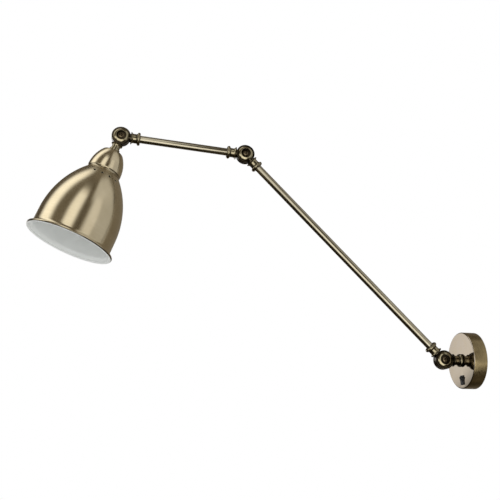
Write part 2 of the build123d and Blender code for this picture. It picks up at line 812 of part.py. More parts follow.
# Lamp holder's body, screwed into the cap, with a lip at its mouth that centres the screw shell
body_outer = skirt_inside - thread_fit
body_inner = body_outer - body_wall
body_top = skirt_bottom + thread_fit
body_end = dome_end + body_length
insert_end = dome_end + insert_height
shell_hole = shell_bore + shell_wall + thread_fit
with BuildPart() as holder_body:
    with BuildSketch(shade_plane):
        with BuildLine():
            Polyline(
                (dome_end, body_inner),
                (dome_end, body_outer),
                (body_top, body_outer),
                (body_top, holder_radius),
                (body_end, holder_radius - body_taper),
                (body_end, shell_hole),
                (body_end - body_lip, shell_hole),
                (body_end - body_lip, body_inner),
                (dome_end, body_inner),
            )
        make_face()
    revolve(axis=shade_axis)
save(holder_body.part, "holder_body")

# Insert that carries the contacts, with the centre contact in a recess, level with its end
contact_seat = insert_end - contact_height
with BuildPart() as holder_insert:
    with BuildSketch(across_shade(dome_end)):
        Circle(body_inner - thread_fit)
    extrude(amount=insert_height)
    fillet(holder_insert.edges().filter_by(GeomType.CIRCLE), radius=insert_round)
    with BuildSketch(across_shade(insert_end)):
        Circle(contact_radius + contact_fit)
    extrude(amount=-contact_height, mode=Mode.SUBTRACT)
save(holder_insert.part, "holder_insert")
with BuildPart() as centre_contact:
    with BuildSketch(across_shade(contact_seat)):
        Circle(contact_radius)
    extrude(amount=contact_height)
    fillet(centre_contact.edges().sort_by(shade_axis)[-1], radius=contact_round)
save(centre_contact.part, "holder_centre_contact")

# Screw shell that takes the bulb, and the cable from the stem to the insert
shell_start = along(head_joint, shade_way, insert_end + shell_clearance)
screw_shell = ring(shell_start, shade_way, shell_bore + shell_wall, shell_bore, shell_length)
stem_cable = rod(along(head_joint, shade_way, cable_start), shade_way, cable_radius, dome_end - cable_start)
save(screw_shell, "holder_screw_shell")
save(stem_cable, "shade_cable")
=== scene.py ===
"""Looks of a swing arm wall sconce: spun and cast brass, enamel, moulded switch and lamp holder.

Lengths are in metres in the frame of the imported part: the wall is the plane Y = 0, the lamp reaches
out along -Y, +Z is up and the arms hinge about X.
"""
import json
from math import asin, atan2, cos, pi, radians, sin, sqrt

import bmesh
import bpy
from mathutils import Matrix, Vector


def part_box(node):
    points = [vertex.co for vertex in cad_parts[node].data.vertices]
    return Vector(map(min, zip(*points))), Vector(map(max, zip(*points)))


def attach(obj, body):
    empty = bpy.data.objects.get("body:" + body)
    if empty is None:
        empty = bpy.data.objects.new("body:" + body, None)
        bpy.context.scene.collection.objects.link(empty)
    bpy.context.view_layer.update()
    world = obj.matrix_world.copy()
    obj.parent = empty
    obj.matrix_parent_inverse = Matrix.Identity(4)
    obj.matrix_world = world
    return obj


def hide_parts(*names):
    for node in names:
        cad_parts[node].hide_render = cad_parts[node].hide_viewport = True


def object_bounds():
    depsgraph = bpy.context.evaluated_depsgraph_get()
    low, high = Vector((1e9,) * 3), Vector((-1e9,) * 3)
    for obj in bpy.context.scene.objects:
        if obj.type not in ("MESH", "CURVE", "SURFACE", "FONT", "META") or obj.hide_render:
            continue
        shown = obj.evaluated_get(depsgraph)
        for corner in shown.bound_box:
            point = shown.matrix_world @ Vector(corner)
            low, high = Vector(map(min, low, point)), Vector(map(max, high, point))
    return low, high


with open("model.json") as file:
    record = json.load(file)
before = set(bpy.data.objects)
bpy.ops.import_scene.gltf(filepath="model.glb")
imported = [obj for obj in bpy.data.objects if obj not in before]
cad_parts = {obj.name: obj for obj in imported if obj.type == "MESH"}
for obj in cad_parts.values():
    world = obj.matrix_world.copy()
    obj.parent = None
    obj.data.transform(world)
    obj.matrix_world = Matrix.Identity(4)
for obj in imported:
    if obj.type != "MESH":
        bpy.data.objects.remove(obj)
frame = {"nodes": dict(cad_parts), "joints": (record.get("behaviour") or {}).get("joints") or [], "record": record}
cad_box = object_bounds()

bl_info = {
    "name": "Swing Arm Wall Sconce",
    "version": (1, 0, 0),
    "blender": (4, 5, 0),
    "location": "View3D > Sidebar > Sconce",
    "description": "Builds the visible pieces, finishes and stage of a swing arm wall sconce on its frame",
    "category": "Object",
}

MM = 0.001
FIT = 0.05 * MM  # play between pieces that screw or slide together
WELD = 0.001 * MM  # points closer than this are one
NEAR = Vector((1, 0, 0))
FAR = Vector((-1, 0, 0))
UP = Vector((0, 0, 1))
TO_WALL = Vector((0, 1, 0))

# What the frame says: hinges, directions and bodies
record = frame["record"]
hinge = {joint["name"]: Vector(joint["pos_m"]) for joint in frame["joints"]}
wall_joint = hinge["wall_hinge"]
elbow_joint = hinge["elbow_hinge"]
head_joint = hinge["shade_hinge"]
rocker_pivot = hinge["switch_press"]
long_way = (elbow_joint - wall_joint).normalized()
short_way = (head_joint - elbow_joint).normalized()
shade_way = Vector(next(mount["axis"] for mount in record["mounts"] if mount["name"] == "bulb_socket"))
body_of = {node: body for body, nodes in record["behaviour"]["bodies"].items() for node in nodes}


def low(node, axis):
    """Lowest coordinate of a node along X, Y or Z, given as 0, 1 or 2."""
    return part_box(node)[0][axis]


def high(node, axis):
    """Highest coordinate of a node along X, Y or Z, given as 0, 1 or 2."""
    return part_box(node)[1][axis]


def length(name, millimetres, description):
    """Length property with its default given in millimetres."""
    return bpy.props.FloatProperty(
        name=name, description=description, default=millimetres * MM, min=0, unit="LENGTH", precision=5
    )


def linear(code):
    """Linear RGBA of an sRGB hex colour."""
    channels = [int(code[start:start + 2], 16) / 255 for start in (1, 3, 5)]
    return (*(c / 12.92 if c <= 0.04045 else ((c + 0.055) / 1.055) ** 2.4 for c in channels), 1)


WHITE = linear("#FFFFFF")


def colour(name, code, description):
    """Colour property with its default given as sRGB hex."""
    return bpy.props.FloatVectorProperty(
        name=name, description=description, default=linear(code), size=4, min=0, max=1, subtype="COLOR"
    )


class SconceKnuckle(bpy.types.PropertyGroup):
    """Sizes of the three knuckle joints and of the collars beside them."""

    disc_radius: length("Disc radius", 15.0, "Radius of a knuckle's half disc")
    width: length("Width", 16.5, "Width over both half discs")
    seat_gap: length("Seat gap", 0.8, "Gap between the half discs, filled by the friction ring")
    disc_round: length("Disc round", 0.8, "Rounding of the disc's flange")
    crown_foot: length("Crown foot", 11.9, "Radius of the raised crown at its foot")
    crown_top: length("Crown top", 8.3, "Radius of the raised crown at its top")
    crown_rise: length("Crown rise", 2.1, "Height of the raised crown")
    crown_bulge: length("Crown bulge", 0.25, "Bulge of the crown's side")
    recess_radius: length("Recess radius", 7.7, "Radius of the recess for the screw head or nut")
    recess_depth: length("Recess depth", 3.75, "Depth of the recess for the screw head or nut")
    clearance: length("Clearance", 0.5, "From a shoulder to the other half disc")
    web_length: length("Web length", 5.5, "Overlap of neck and disc")
    web_radius: length("Web radius", 7.0, "Radius of the neck's root in the disc")
    shoulder_radius: length("Shoulder radius", 10.0, "Radius of the neck's shoulder")
    shoulder_width: length("Shoulder width", 1.2, "Width of the neck's shoulder")
    neck_radius: length("Neck radius", 7.5, "Radius of the neck")
    neck_flare: length("Neck flare", 3.2, "Length of the flare from shoulder to neck")
    neck_length: length("Neck length", 4.6, "Length of the straight neck")
    stem_shoulder_radius: length("Stem shoulder radius", 9.2, "Shoulder radius of the shade's knuckle")
    stem_neck_radius: length("Stem neck radius", 6.7, "Neck radius of the shade's knuckle")
    spigot_radius: length("Spigot radius", 4.95, "Radius of the threaded spigot")
    spigot_reach: length("Spigot reach", 15.5, "Length of the spigot past the neck")
    stem_spigot_reach: length("Stem spigot reach", 21.0, "Length of the shade's spigot past the neck")
    cable_bore: length("Cable bore", 2.8, "Radius of the bore for the cable")
    pin_radius: length("Pin radius", 2.05, "Radius of the pivot hole")
    collar_length: length("Collar length", 6.0, "Length of a collar bead")
    collar_seat: length("Collar seat", 3.0, "Depth of the tube's seat in a collar")
    collar_lip: length("Collar lip", 0.4, "Step from the neck to the collar's foot")
    bead_radius: length("Bead radius", 10.5, "Largest radius of the collar bead")
    bead_crown: length("Bead crown", 0.8, "Height of the bead's crown")
    bead_width: length("Bead width", 3.8, "Width of the bead")
    bead_foot: length("Bead foot", 0.6, "Width of the bead's foot")
    stem_collar_radius: length("Stem collar radius", 8.3, "Radius of the collar on the shade")
    edge_round: length("Edge round", 0.35, "Rounding of the castings' edges")


class SconceShade(bpy.types.PropertyGroup):
    """Sizes of the shade, along its axis from the head knuckle and about that axis."""

    hole_radius: length("Hole radius", 5.0, "Radius of the hole for the spigot")
    cap_flat: length("Cap flat", 12.5, "Radius of the cap's flat top")
    corner_drop: length("Corner drop", 2.7, "Height of the cap's tight corner")
    corner_radius: length("Corner radius", 17.3, "Radius where the cap's corner ends")
    cap_drop: length("Cap drop", 33.5, "Height of the cap")
    cap_radius: length("Cap radius", 27.0, "Radius of the cap's skirt")
    skirt: length("Skirt", 2.0, "Height of the cap's straight skirt")
    waist_drop: length("Waist drop", 2.0, "Height of the step under the skirt")
    waist_radius: length("Waist radius", 26.0, "Radius of the waist")
    waist_length: length("Waist length", 2.2, "Height of the waist")
    waist_flare: length("Waist flare", 0.2, "Widening of the waist")
    bell_radius: length("Bell radius", 62.2, "Radius of the bell's straight side")
    bell_height: length("Bell height", 94.8, "Height of the bell's round part")
    straight: length("Straight", 20.8, "Height of the bell's straight part")
    lip_length: length("Lip length", 7.5, "Height of the flared lip")
    lip_width: length("Lip width", 4.5, "Width of the flared lip")
    bead: length("Bead", 2.3, "Radius of the rolled edge")
    wall: length("Wall", 0.9, "Thickness of the sheet")
    vent_radius: length("Vent radius", 2.2, "Radius of a vent hole")
    vent_drop: length("Vent drop", 11.8, "From the top of the bell to the vent holes")
    vent_drill: length("Vent drill", 8.0, "Length of the drill that cuts the vent holes")
    vent_count: bpy.props.IntProperty(
        name="Vent count", description="Vent holes in the ring", default=18, min=3
    )
    vent_phase: bpy.props.FloatProperty(
        name="Vent phase", description="Turn of the ring of holes", default=radians(13.3), subtype="ANGLE"
    )


class SconceFittings(bpy.types.PropertyGroup):
    """Sizes of the canopy, the screws and the lamp holder."""

    canopy_wall: length("Canopy wall", 1.2, "Thickness of the canopy's sheet")
    canopy_edge: length("Canopy edge", 1.6, "Rounding of the canopy's front edge")
    tube_wall: length("Tube wall", 1.0, "Thickness of the arm tubes")
    screw_head_radius: length("Screw head radius", 3.7, "Radius of a pivot screw's head")
    screw_head_height: length("Screw head height", 2.3, "Height of a pivot screw's head")
    screw_dome: length("Screw dome", 0.9, "Height of the dome of a pivot screw's head")
    drive_length: length("Drive length", 4.6, "Length of a screw's cross recess")
    drive_width: length("Drive width", 0.9, "Width of a screw's slot")
    drive_depth: length("Drive depth", 1.2, "Depth of a screw's slot")
    washer_thickness: length("Washer thickness", 0.7, "Thickness of the washers on the pivots")
    grub_radius: length("Grub radius", 1.5, "Radius of the canopy's grub screws")
    grub_socket: length("Grub socket", 0.75, "Radius of the hexagon socket in a grub screw")
    grub_socket_depth: length("Grub socket depth", 1.6, "Depth of that socket")
    clamp_radius: length("Clamp radius", 1.3, "Radius of the terminal block's clamp screws")
    holder_top: length("Holder top", 37.6, "From the head knuckle to the lamp holder's top")
    holder_throat: length("Holder throat", 8.0, "Radius of the holder's throat")
    throat_length: length("Throat length", 5.0, "Length of the holder's throat")
    holder_dome: length("Holder dome", 10.0, "Height of the holder's dome")
    holder_radius: length("Holder radius", 19.5, "Radius of the holder")
    holder_skirt: length("Holder skirt", 7.0, "Height of the holder cap's skirt")
    holder_wall: length("Holder wall", 1.6, "Wall of the holder's cap")
    body_length: length("Body length", 36.0, "Length of the holder's body")
    body_lip: length("Body lip", 4.0, "Depth of the lip at the body's mouth")
    body_wall: length("Body wall", 1.8, "Wall of the holder's body")
    body_taper: length("Body taper", 1.0, "Narrowing of the body towards its mouth")
    insert_height: length("Insert height", 9.0, "Height of the insert with the contacts")
    shell_bore: length("Shell bore", 13.3, "Bore of the screw shell")
    shell_wall: length("Shell wall", 0.6, "Sheet of the screw shell")
    shell_length: length("Shell length", 24.0, "Length of the screw shell")
    shell_clearance: length("Shell clearance", 0.3, "Gap between the insert and the screw shell")
    thread_pitch: length("Thread pitch", 3.62, "Pitch of the shell's rolled thread")
    thread_depth: length("Thread depth", 0.28, "Swing of the rolled thread to either side")
    contact_radius: length("Contact radius", 4.0, "Radius of the centre contact")
    contact_height: length("Contact height", 2.5, "Height of the centre contact, sunk in the insert")


class SconceColours(bpy.types.PropertyGroup):
    """Colours of the finishes."""

    shade_brass: colour("Shade brass", "#CFC2A4", "Brushed brass of the shade")
    shade_patina: colour("Shade patina", "#A08F6C", "Darker brown in the brushed lines")
    cast_brass: colour("Cast brass", "#9A9074", "Polished brass of the knuckles")
    # Besides patina, this brown is painted shade in hollows and recesses, and painted dark reflection on the
    # knuckles' flanges and the shade's rolled edge
    cast_patina: colour("Cast patina", "#1F180F", "Antique brown left in the hollows")
    tube_brass: colour("Tube brass", "#A29A84", "Drawn brass of the arm tubes")
    plate_brass: colour("Plate brass", "#A09689", "Polished front of the canopy")
    plate_side: colour("Plate side", "#A3916A", "Brushed side of the canopy")
    plate_slant: colour("Plate slant", "#B3B3B3", "Dulling of the canopy's front at a slant")
    # This brass is dark partly as painted shade for the recesses that the screws sit in
    screw_brass: colour("Screw brass", "#574C3A", "Darkened screws and nuts")
    bare_brass: colour("Bare brass", "#C9A559", "Unplated brass of the contacts")
    enamel: colour("Enamel", "#EEF0EE", "White enamel inside the shade")
    zinc: colour("Zinc", "#A9ADB0", "Zinc plated steel")
    zinc_tint: colour("Zinc tint", "#8C8A86", "Duller patches of the zinc")
    fibre: colour("Fibre", "#6B3524", "Vulcanised fibre")
    nylon: colour("Nylon", "#E4E3DC", "Nylon of the terminal block")
    switch_black: colour("Switch black", "#090809", "ABS of the switch")
    phenolic: colour("Phenolic", "#15130F", "Phenolic of the lamp holder")
    steatite: colour("Steatite", "#EAE6DA", "Glazed steatite of the holder's insert")
    sheath: colour("Sheath", "#D9D8D2", "PVC sheath of the cables")
    floor: colour("Floor", "#F4F4F2", "Studio floor")
    dim_light: colour("Dim light", "#F2D9AC", "Light from the dim parts of the studio")


# Nodes of materials and of geometry trees

NOISE_RANGE = {"From Min": 0.3, "From Max": 0.7}  # where most values of a noise lie


def add_node(tree, kind, inputs=None, **settings):
    """Add a node with its settings; an input is a value, a socket, or a node to link by its first output."""
    made = tree.nodes.new(kind)
    for key, value in settings.items():
        setattr(made, key, value)
    for key, value in (inputs or {}).items():
        if isinstance(value, bpy.types.Node):
            value = next(socket for socket in value.outputs if socket.enabled)
        if isinstance(value, bpy.types.NodeSocket):
            tree.links.new(value, made.inputs[key])
        else:
            made.inputs[key].default_value = value
    return made


def new_material(name, recipe, *values):
    """Material with a Principled shader whose inputs the recipe makes from the values."""
    made = bpy.data.materials.new(name)
    made.use_nodes = True
    tree = made.node_tree
    tree.nodes.clear()
    shader = add_node(tree, "ShaderNodeBsdfPrincipled", recipe(tree, *values))
    add_node(tree, "ShaderNodeOutputMaterial", {"Surface": shader})
    return made


def object_noise(tree, size, detail=3.0):
    """Noise in object space whose patches are about size across."""
    place = add_node(tree, "ShaderNodeTexCoord").outputs["Object"]
    return add_node(tree, "ShaderNodeTexNoise", {"Vector": place, "Scale": 1 / size, "Detail": detail})


def turned_lines(tree, spacing):
    """Lines left by turning or brushing on a lathe: noise along the profile only, read from the UV map."""
    uv = add_node(tree, "ShaderNodeUVMap", uv_map="UVMap")
    along = add_node(tree, "ShaderNodeSeparateXYZ", {"Vector": uv}).outputs["Y"]
    values = {"W": along, "Scale": 1 / spacing, "Detail": 4.0, "Roughness": 0.7}
    return add_node(tree, "ShaderNodeTexNoise", values, noise_dimensions="1D")


def toned(tree, first, second, *patterns):
    """Colour from first towards second by patterns, each with its share in the change."""
    tone = 0.0
    for pattern, share in patterns:
        part = add_node(tree, "ShaderNodeMapRange", {"Value": pattern, **NOISE_RANGE, "To Max": share})
        tone = add_node(tree, "ShaderNodeMath", {0: tone, 1: part}, operation="ADD")
    return add_node(tree, "ShaderNodeMix", {0: tone, 6: first, 7: second}, data_type="RGBA")


def openness(tree, reach, contrast):
    """Factor that is 1 on open surfaces and falls in hollows narrower than reach."""
    seen = add_node(tree, "ShaderNodeAmbientOcclusion", {"Distance": reach}, samples=8).outputs["AO"]
    return add_node(tree, "ShaderNodeMath", {0: seen, 1: contrast}, operation="POWER")


def antiqued(tree, brass, brown, most):
    """Brass with antique brown and painted shade where the piece's attribute says so, up to a share of most."""
    share = add_node(tree, "ShaderNodeAttribute", attribute_name="antique").outputs["Fac"]
    factor = add_node(tree, "ShaderNodeMath", {0: share, 1: most}, operation="MULTIPLY")
    return add_node(tree, "ShaderNodeMix", {0: factor, 6: brass, 7: brown}, data_type="RGBA")


def darker(base, share):
    """Colour with its channels cut to a share."""
    return (*(share * channel for channel in base[:3]), 1)


# Recipes of the materials: each returns the inputs of its Principled shader


def brushed_round(tree, lines, smoothest, roughest, relief):
    """Metal brushed round on a lathe: its gloss is stretched across the lines, which stand in fine relief."""
    gloss = {"Value": lines, **NOISE_RANGE, "To Min": smoothest, "To Max": roughest}
    grooves = {"Height": lines, "Distance": 0.02 * MM, "Strength": relief}
    return {
        "Metallic": 1.0,
        "Anisotropic": 0.6,
        "Anisotropic Rotation": 0.25,
        "Tangent": add_node(tree, "ShaderNodeTangent", direction_type="UV_MAP", uv_map="UVMap"),
        "Roughness": add_node(tree, "ShaderNodeMapRange", gloss),
        "Normal": add_node(tree, "ShaderNodeBump", grooves),
    }


def spun_shade(tree, colours):
    """Spun brass brushed on the lathe and plated antique: streaks of light run along the axis."""
    # Brush lines of about 0.1 mm are drawn 1.1 mm apart, so that they show
    lines = turned_lines(tree, 1.1 * MM)
    clouds = object_noise(tree, 26 * MM)
    brass = toned(tree, colours.shade_brass, colours.shade_patina, (lines, 0.28), (clouds, 0.22))
    # Painted dark reflection on the rolled edge and painted shade in the step under the cap, from the piece's
    # brown attribute
    base = antiqued(tree, brass, colours.cast_patina, most=0.75)
    return {"Base Color": base, **brushed_round(tree, lines, smoothest=0.17, roughest=0.24, relief=0.35)}


def canopy_side(tree, colours):
    """Side of the canopy, brushed round on the lathe: broad dull streaks."""
    # Brush lines of about 0.1 mm are drawn 0.9 mm apart, so that they show
    lines = turned_lines(tree, 0.9 * MM)
    clouds = object_noise(tree, 9 * MM)
    base = toned(tree, colours.plate_side, colours.cast_patina, (lines, 0.3), (clouds, 0.25))
    return {"Base Color": base, **brushed_round(tree, lines, smoothest=0.24, roughest=0.38, relief=0.4)}


def sprayed_enamel(tree, colours):
    """Sprayed white enamel: smooth with a faint orange peel, soft gloss."""
    peel = object_noise(tree, 1.6 * MM, detail=1.0)
    clouds = object_noise(tree, 30 * MM)
    return {
        "Base Color": toned(tree, colours.enamel, darker(colours.enamel, 0.93), (clouds, 1.0)),
        "Roughness": 0.38,
        "IOR": 1.52,
        "Normal": add_node(tree, "ShaderNodeBump", {"Height": peel, "Distance": 0.03 * MM, "Strength": 0.3}),
    }


def polished_casting(tree, colours):
    """Cast brass, polished bright over antique brown that stays in the hollows; the brown is also painted shade
    there, and painted shade and dark reflection where the piece's attribute asks.
    """
    clouds = object_noise(tree, 7 * MM)
    grain = object_noise(tree, 2.2 * MM)
    rubbed = add_node(tree, "ShaderNodeMapRange", {"Value": clouds, **NOISE_RANGE, "To Min": 0.78})
    # Painted shade: the colour goes to brown in hollows and recesses, read from ambient occlusion
    reached = openness(tree, reach=6 * MM, contrast=1.6)
    bright = add_node(tree, "ShaderNodeMath", {0: reached, 1: rubbed}, operation="MULTIPLY")
    metals = {0: bright, 6: colours.cast_patina, 7: colours.cast_brass}
    brass = add_node(tree, "ShaderNodeMix", metals, data_type="RGBA")
    gloss = {"Value": clouds, **NOISE_RANGE, "To Min": 0.09, "To Max": 0.19}
    return {
        "Metallic": 1.0,
        "Base Color": antiqued(tree, brass, colours.cast_patina, most=0.92),
        "Roughness": add_node(tree, "ShaderNodeMapRange", gloss),
        "Normal": add_node(tree, "ShaderNodeBump", {"Height": grain, "Distance": 0.02 * MM, "Strength": 0.1}),
    }


def drawn_tube(tree, colours):
    """Drawn brass tube with a satin plating: fine draw lines along the tube and a crisp long gloss."""
    uv = add_node(tree, "ShaderNodeUVMap", uv_map="UVMap")
    # Draw lines are 0.05 mm wide, drawn 0.42 mm apart, so that they show; they drift slowly along the tube
    lines_per_turn = 90
    drifts_per_metre = 4
    stretch = {"Vector": uv, "Scale": (lines_per_turn, drifts_per_metre, 1)}
    stretched = add_node(tree, "ShaderNodeMapping", stretch)
    lines = add_node(tree, "ShaderNodeTexNoise", {"Vector": stretched, "Scale": 1.0, "Detail": 3.0})
    clouds = object_noise(tree, 18 * MM)
    gloss = {"Value": clouds, **NOISE_RANGE, "To Min": 0.15, "To Max": 0.24}
    return {
        "Metallic": 1.0,
        "Base Color": toned(tree, colours.tube_brass, colours.cast_patina, (lines, 0.12), (clouds, 0.16)),
        "Roughness": add_node(tree, "ShaderNodeMapRange", gloss),
    }


def plated_screw(tree, colours):
    """Antiqued screws: hard gloss, brown left in the recess, which is also painted shade there."""
    # Painted shade: darker where the screw head sits deep in the knuckle's recess, read from ambient occlusion
    reached = openness(tree, reach=4 * MM, contrast=1.5)
    metals = {0: reached, 6: colours.cast_patina, 7: colours.screw_brass}
    gloss = {"Value": object_noise(tree, 2 * MM), **NOISE_RANGE, "To Min": 0.14, "To Max": 0.26}
    return {
        "Metallic": 1.0,
        "Base Color": add_node(tree, "ShaderNodeMix", metals, data_type="RGBA"),
        "Roughness": add_node(tree, "ShaderNodeMapRange", gloss),
    }


def patchy_metal(tree, first, second, size, share, smoothest, roughest, detail=3.0):
    """Sheet metal with patches of the given size, which are duller and lean to a second colour."""
    patches = object_noise(tree, size, detail)
    gloss = {"Value": patches, **NOISE_RANGE, "To Min": smoothest, "To Max": roughest}
    return {
        "Metallic": 1.0,
        "Base Color": toned(tree, first, second, (patches, share)),
        "Roughness": add_node(tree, "ShaderNodeMapRange", gloss),
    }


def canopy_front(tree, colours):
    """Polished face of the canopy: nearly a mirror, with a faint haze from buffing, duller at a slant."""
    tones = (colours.plate_brass, colours.plate_side)
    sheet = patchy_metal(tree, *tones, size=12 * MM, share=0.14, smoothest=0.05, roughest=0.1)
    return {**sheet, "Specular Tint": colours.plate_slant}


def pressed_brass(tree, colours):
    """Pressed sheet brass without plating: yellow, with a light tarnish."""
    tones = (colours.bare_brass, colours.shade_patina)
    return patchy_metal(tree, *tones, size=5 * MM, share=0.35, smoothest=0.2, roughest=0.36)


def zinc_steel(tree, colours):
    """Zinc plated mild steel: cool grey with a patchy spangle."""
    tones = (colours.zinc, colours.zinc_tint)
    return patchy_metal(tree, *tones, size=4 * MM, share=0.8, smoothest=0.3, roughest=0.46, detail=2.0)


def vulcanised_fibre(tree, colours):
    """Vulcanised fibre: red-brown, dry and finely flecked."""
    flecks = object_noise(tree, 0.6 * MM, detail=2.0)
    grain = {"Height": flecks, "Distance": 0.05 * MM, "Strength": 0.4}
    return {
        "Base Color": toned(tree, colours.fibre, darker(colours.fibre, 0.55), (flecks, 1.0)),
        "Roughness": 0.7,
        "Normal": add_node(tree, "ShaderNodeBump", grain),
    }


def moulded(tree, base, roughness, grain, ior):
    """Moulded plastic or glazed ware: even colour, a fine grain of the given size in its gloss."""
    pattern = object_noise(tree, grain, detail=2.0)
    gloss = {"Value": pattern, **NOISE_RANGE, "To Min": roughness - 0.06, "To Max": roughness + 0.08}
    relief = {"Height": pattern, "Distance": 0.02 * MM, "Strength": 0.3}
    return {
        "Base Color": toned(tree, base, darker(base, 0.82), (pattern, 1.0)),
        "Roughness": add_node(tree, "ShaderNodeMapRange", gloss),
        "IOR": ior,
        "Normal": add_node(tree, "ShaderNodeBump", relief),
    }


class Finishes:
    """All materials of the sconce, made once from the colours."""

    def __init__(self, colours):
        self.shade = new_material("Brushed antique brass", spun_shade, colours)
        self.enamel = new_material("White sprayed enamel", sprayed_enamel, colours)
        self.cast = new_material("Polished antique cast brass", polished_casting, colours)
        self.tube = new_material("Satin drawn brass tube", drawn_tube, colours)
        self.plate_front = new_material("Polished antique brass sheet", canopy_front, colours)
        self.plate_side = new_material("Brushed antique brass sheet", canopy_side, colours)
        self.screw = new_material("Antiqued brass screw", plated_screw, colours)
        self.contact = new_material("Bare pressed brass", pressed_brass, colours)
        self.zinc = new_material("Zinc plated steel", zinc_steel, colours)
        self.fibre = new_material("Vulcanised fibre", vulcanised_fibre, colours)
        for key, name, base, roughness, grain, ior in (
            ("nylon", "Moulded nylon", colours.nylon, 0.5, 0.8 * MM, 1.5),
            ("switch", "Moulded black ABS", colours.switch_black, 0.45, 0.5 * MM, 1.53),
            ("phenolic", "Pressed black phenolic", colours.phenolic, 0.36, 0.7 * MM, 1.6),
            ("steatite", "Glazed steatite", colours.steatite, 0.24, 1.5 * MM, 1.55),
            ("sheath", "PVC cable sheath", colours.sheath, 0.48, 0.6 * MM, 1.53),
        ):
            setattr(self, key, new_material(name, moulded, base, roughness, grain, ior))


made_finishes = []


def finishes():
    """The materials, made at the first call."""
    if not made_finishes:
        made_finishes.append(Finishes(bpy.context.scene.sconce_colours))
    return made_finishes[0]


# Outlines in the half plane of a turned piece: x is the radius, y the place along the axis


def turned_by(vector, angle):
    """Flat vector turned anticlockwise."""
    return Matrix.Rotation(angle, 2) @ vector


def arc(start, way, end, steps=10):
    """Points after start on the arc that leaves it along way and ends at end."""
    start, way, end = Vector(start), Vector(way).normalized(), Vector(end)
    side = Vector((-way.y, way.x))
    chord = end - start
    radius = chord.length_squared / (2 * chord.dot(side))
    centre = start + side * radius
    sweep = 2 * atan2(chord.dot(side), chord.dot(way))
    return [centre + turned_by(start - centre, sweep * step / steps) for step in range(1, steps + 1)]


def bow(start, end, rise, steps=10):
    """Points after start on an arc to end that stands out by rise to the right."""
    chord = Vector(end) - Vector(start)
    return arc(start, turned_by(chord, -2 * atan2(2 * rise, chord.length)), end, steps)


def rounded(corners, closed=True, steps=4):
    """Outline through corners of (radius, place, rounding), where a rounding of zero keeps its corner."""
    outline = []
    count = len(corners)
    for index, (x, y, size) in enumerate(corners):
        here = Vector((x, y))
        at_end = not closed and index in (0, count - 1)
        if size == 0 or at_end:
            outline.append(here)
            continue
        before = (Vector(corners[index - 1][:2]) - here).normalized()
        after = (Vector(corners[(index + 1) % count][:2]) - here).normalized()
        half = before.angle(after) / 2
        reach = size / (sin(half) / cos(half))
        start = here + before * reach
        outline += [start] + arc(start, -before, here + after * reach, steps)
    return outline + outline[:1] if closed else outline


# Geometry trees


def new_tree(name, inputs):
    """Geometry tree with inputs of the given kinds and one output; also returns the inputs' sockets."""
    tree = bpy.data.node_groups.new(name, "GeometryNodeTree")
    tree.is_modifier = True
    for key, kind in inputs.items():
        tree.interface.new_socket(key, in_out="INPUT", socket_type=f"NodeSocket{kind}")
    tree.interface.new_socket("Geometry", in_out="OUTPUT", socket_type="NodeSocketGeometry")
    return tree, add_node(tree, "NodeGroupInput").outputs


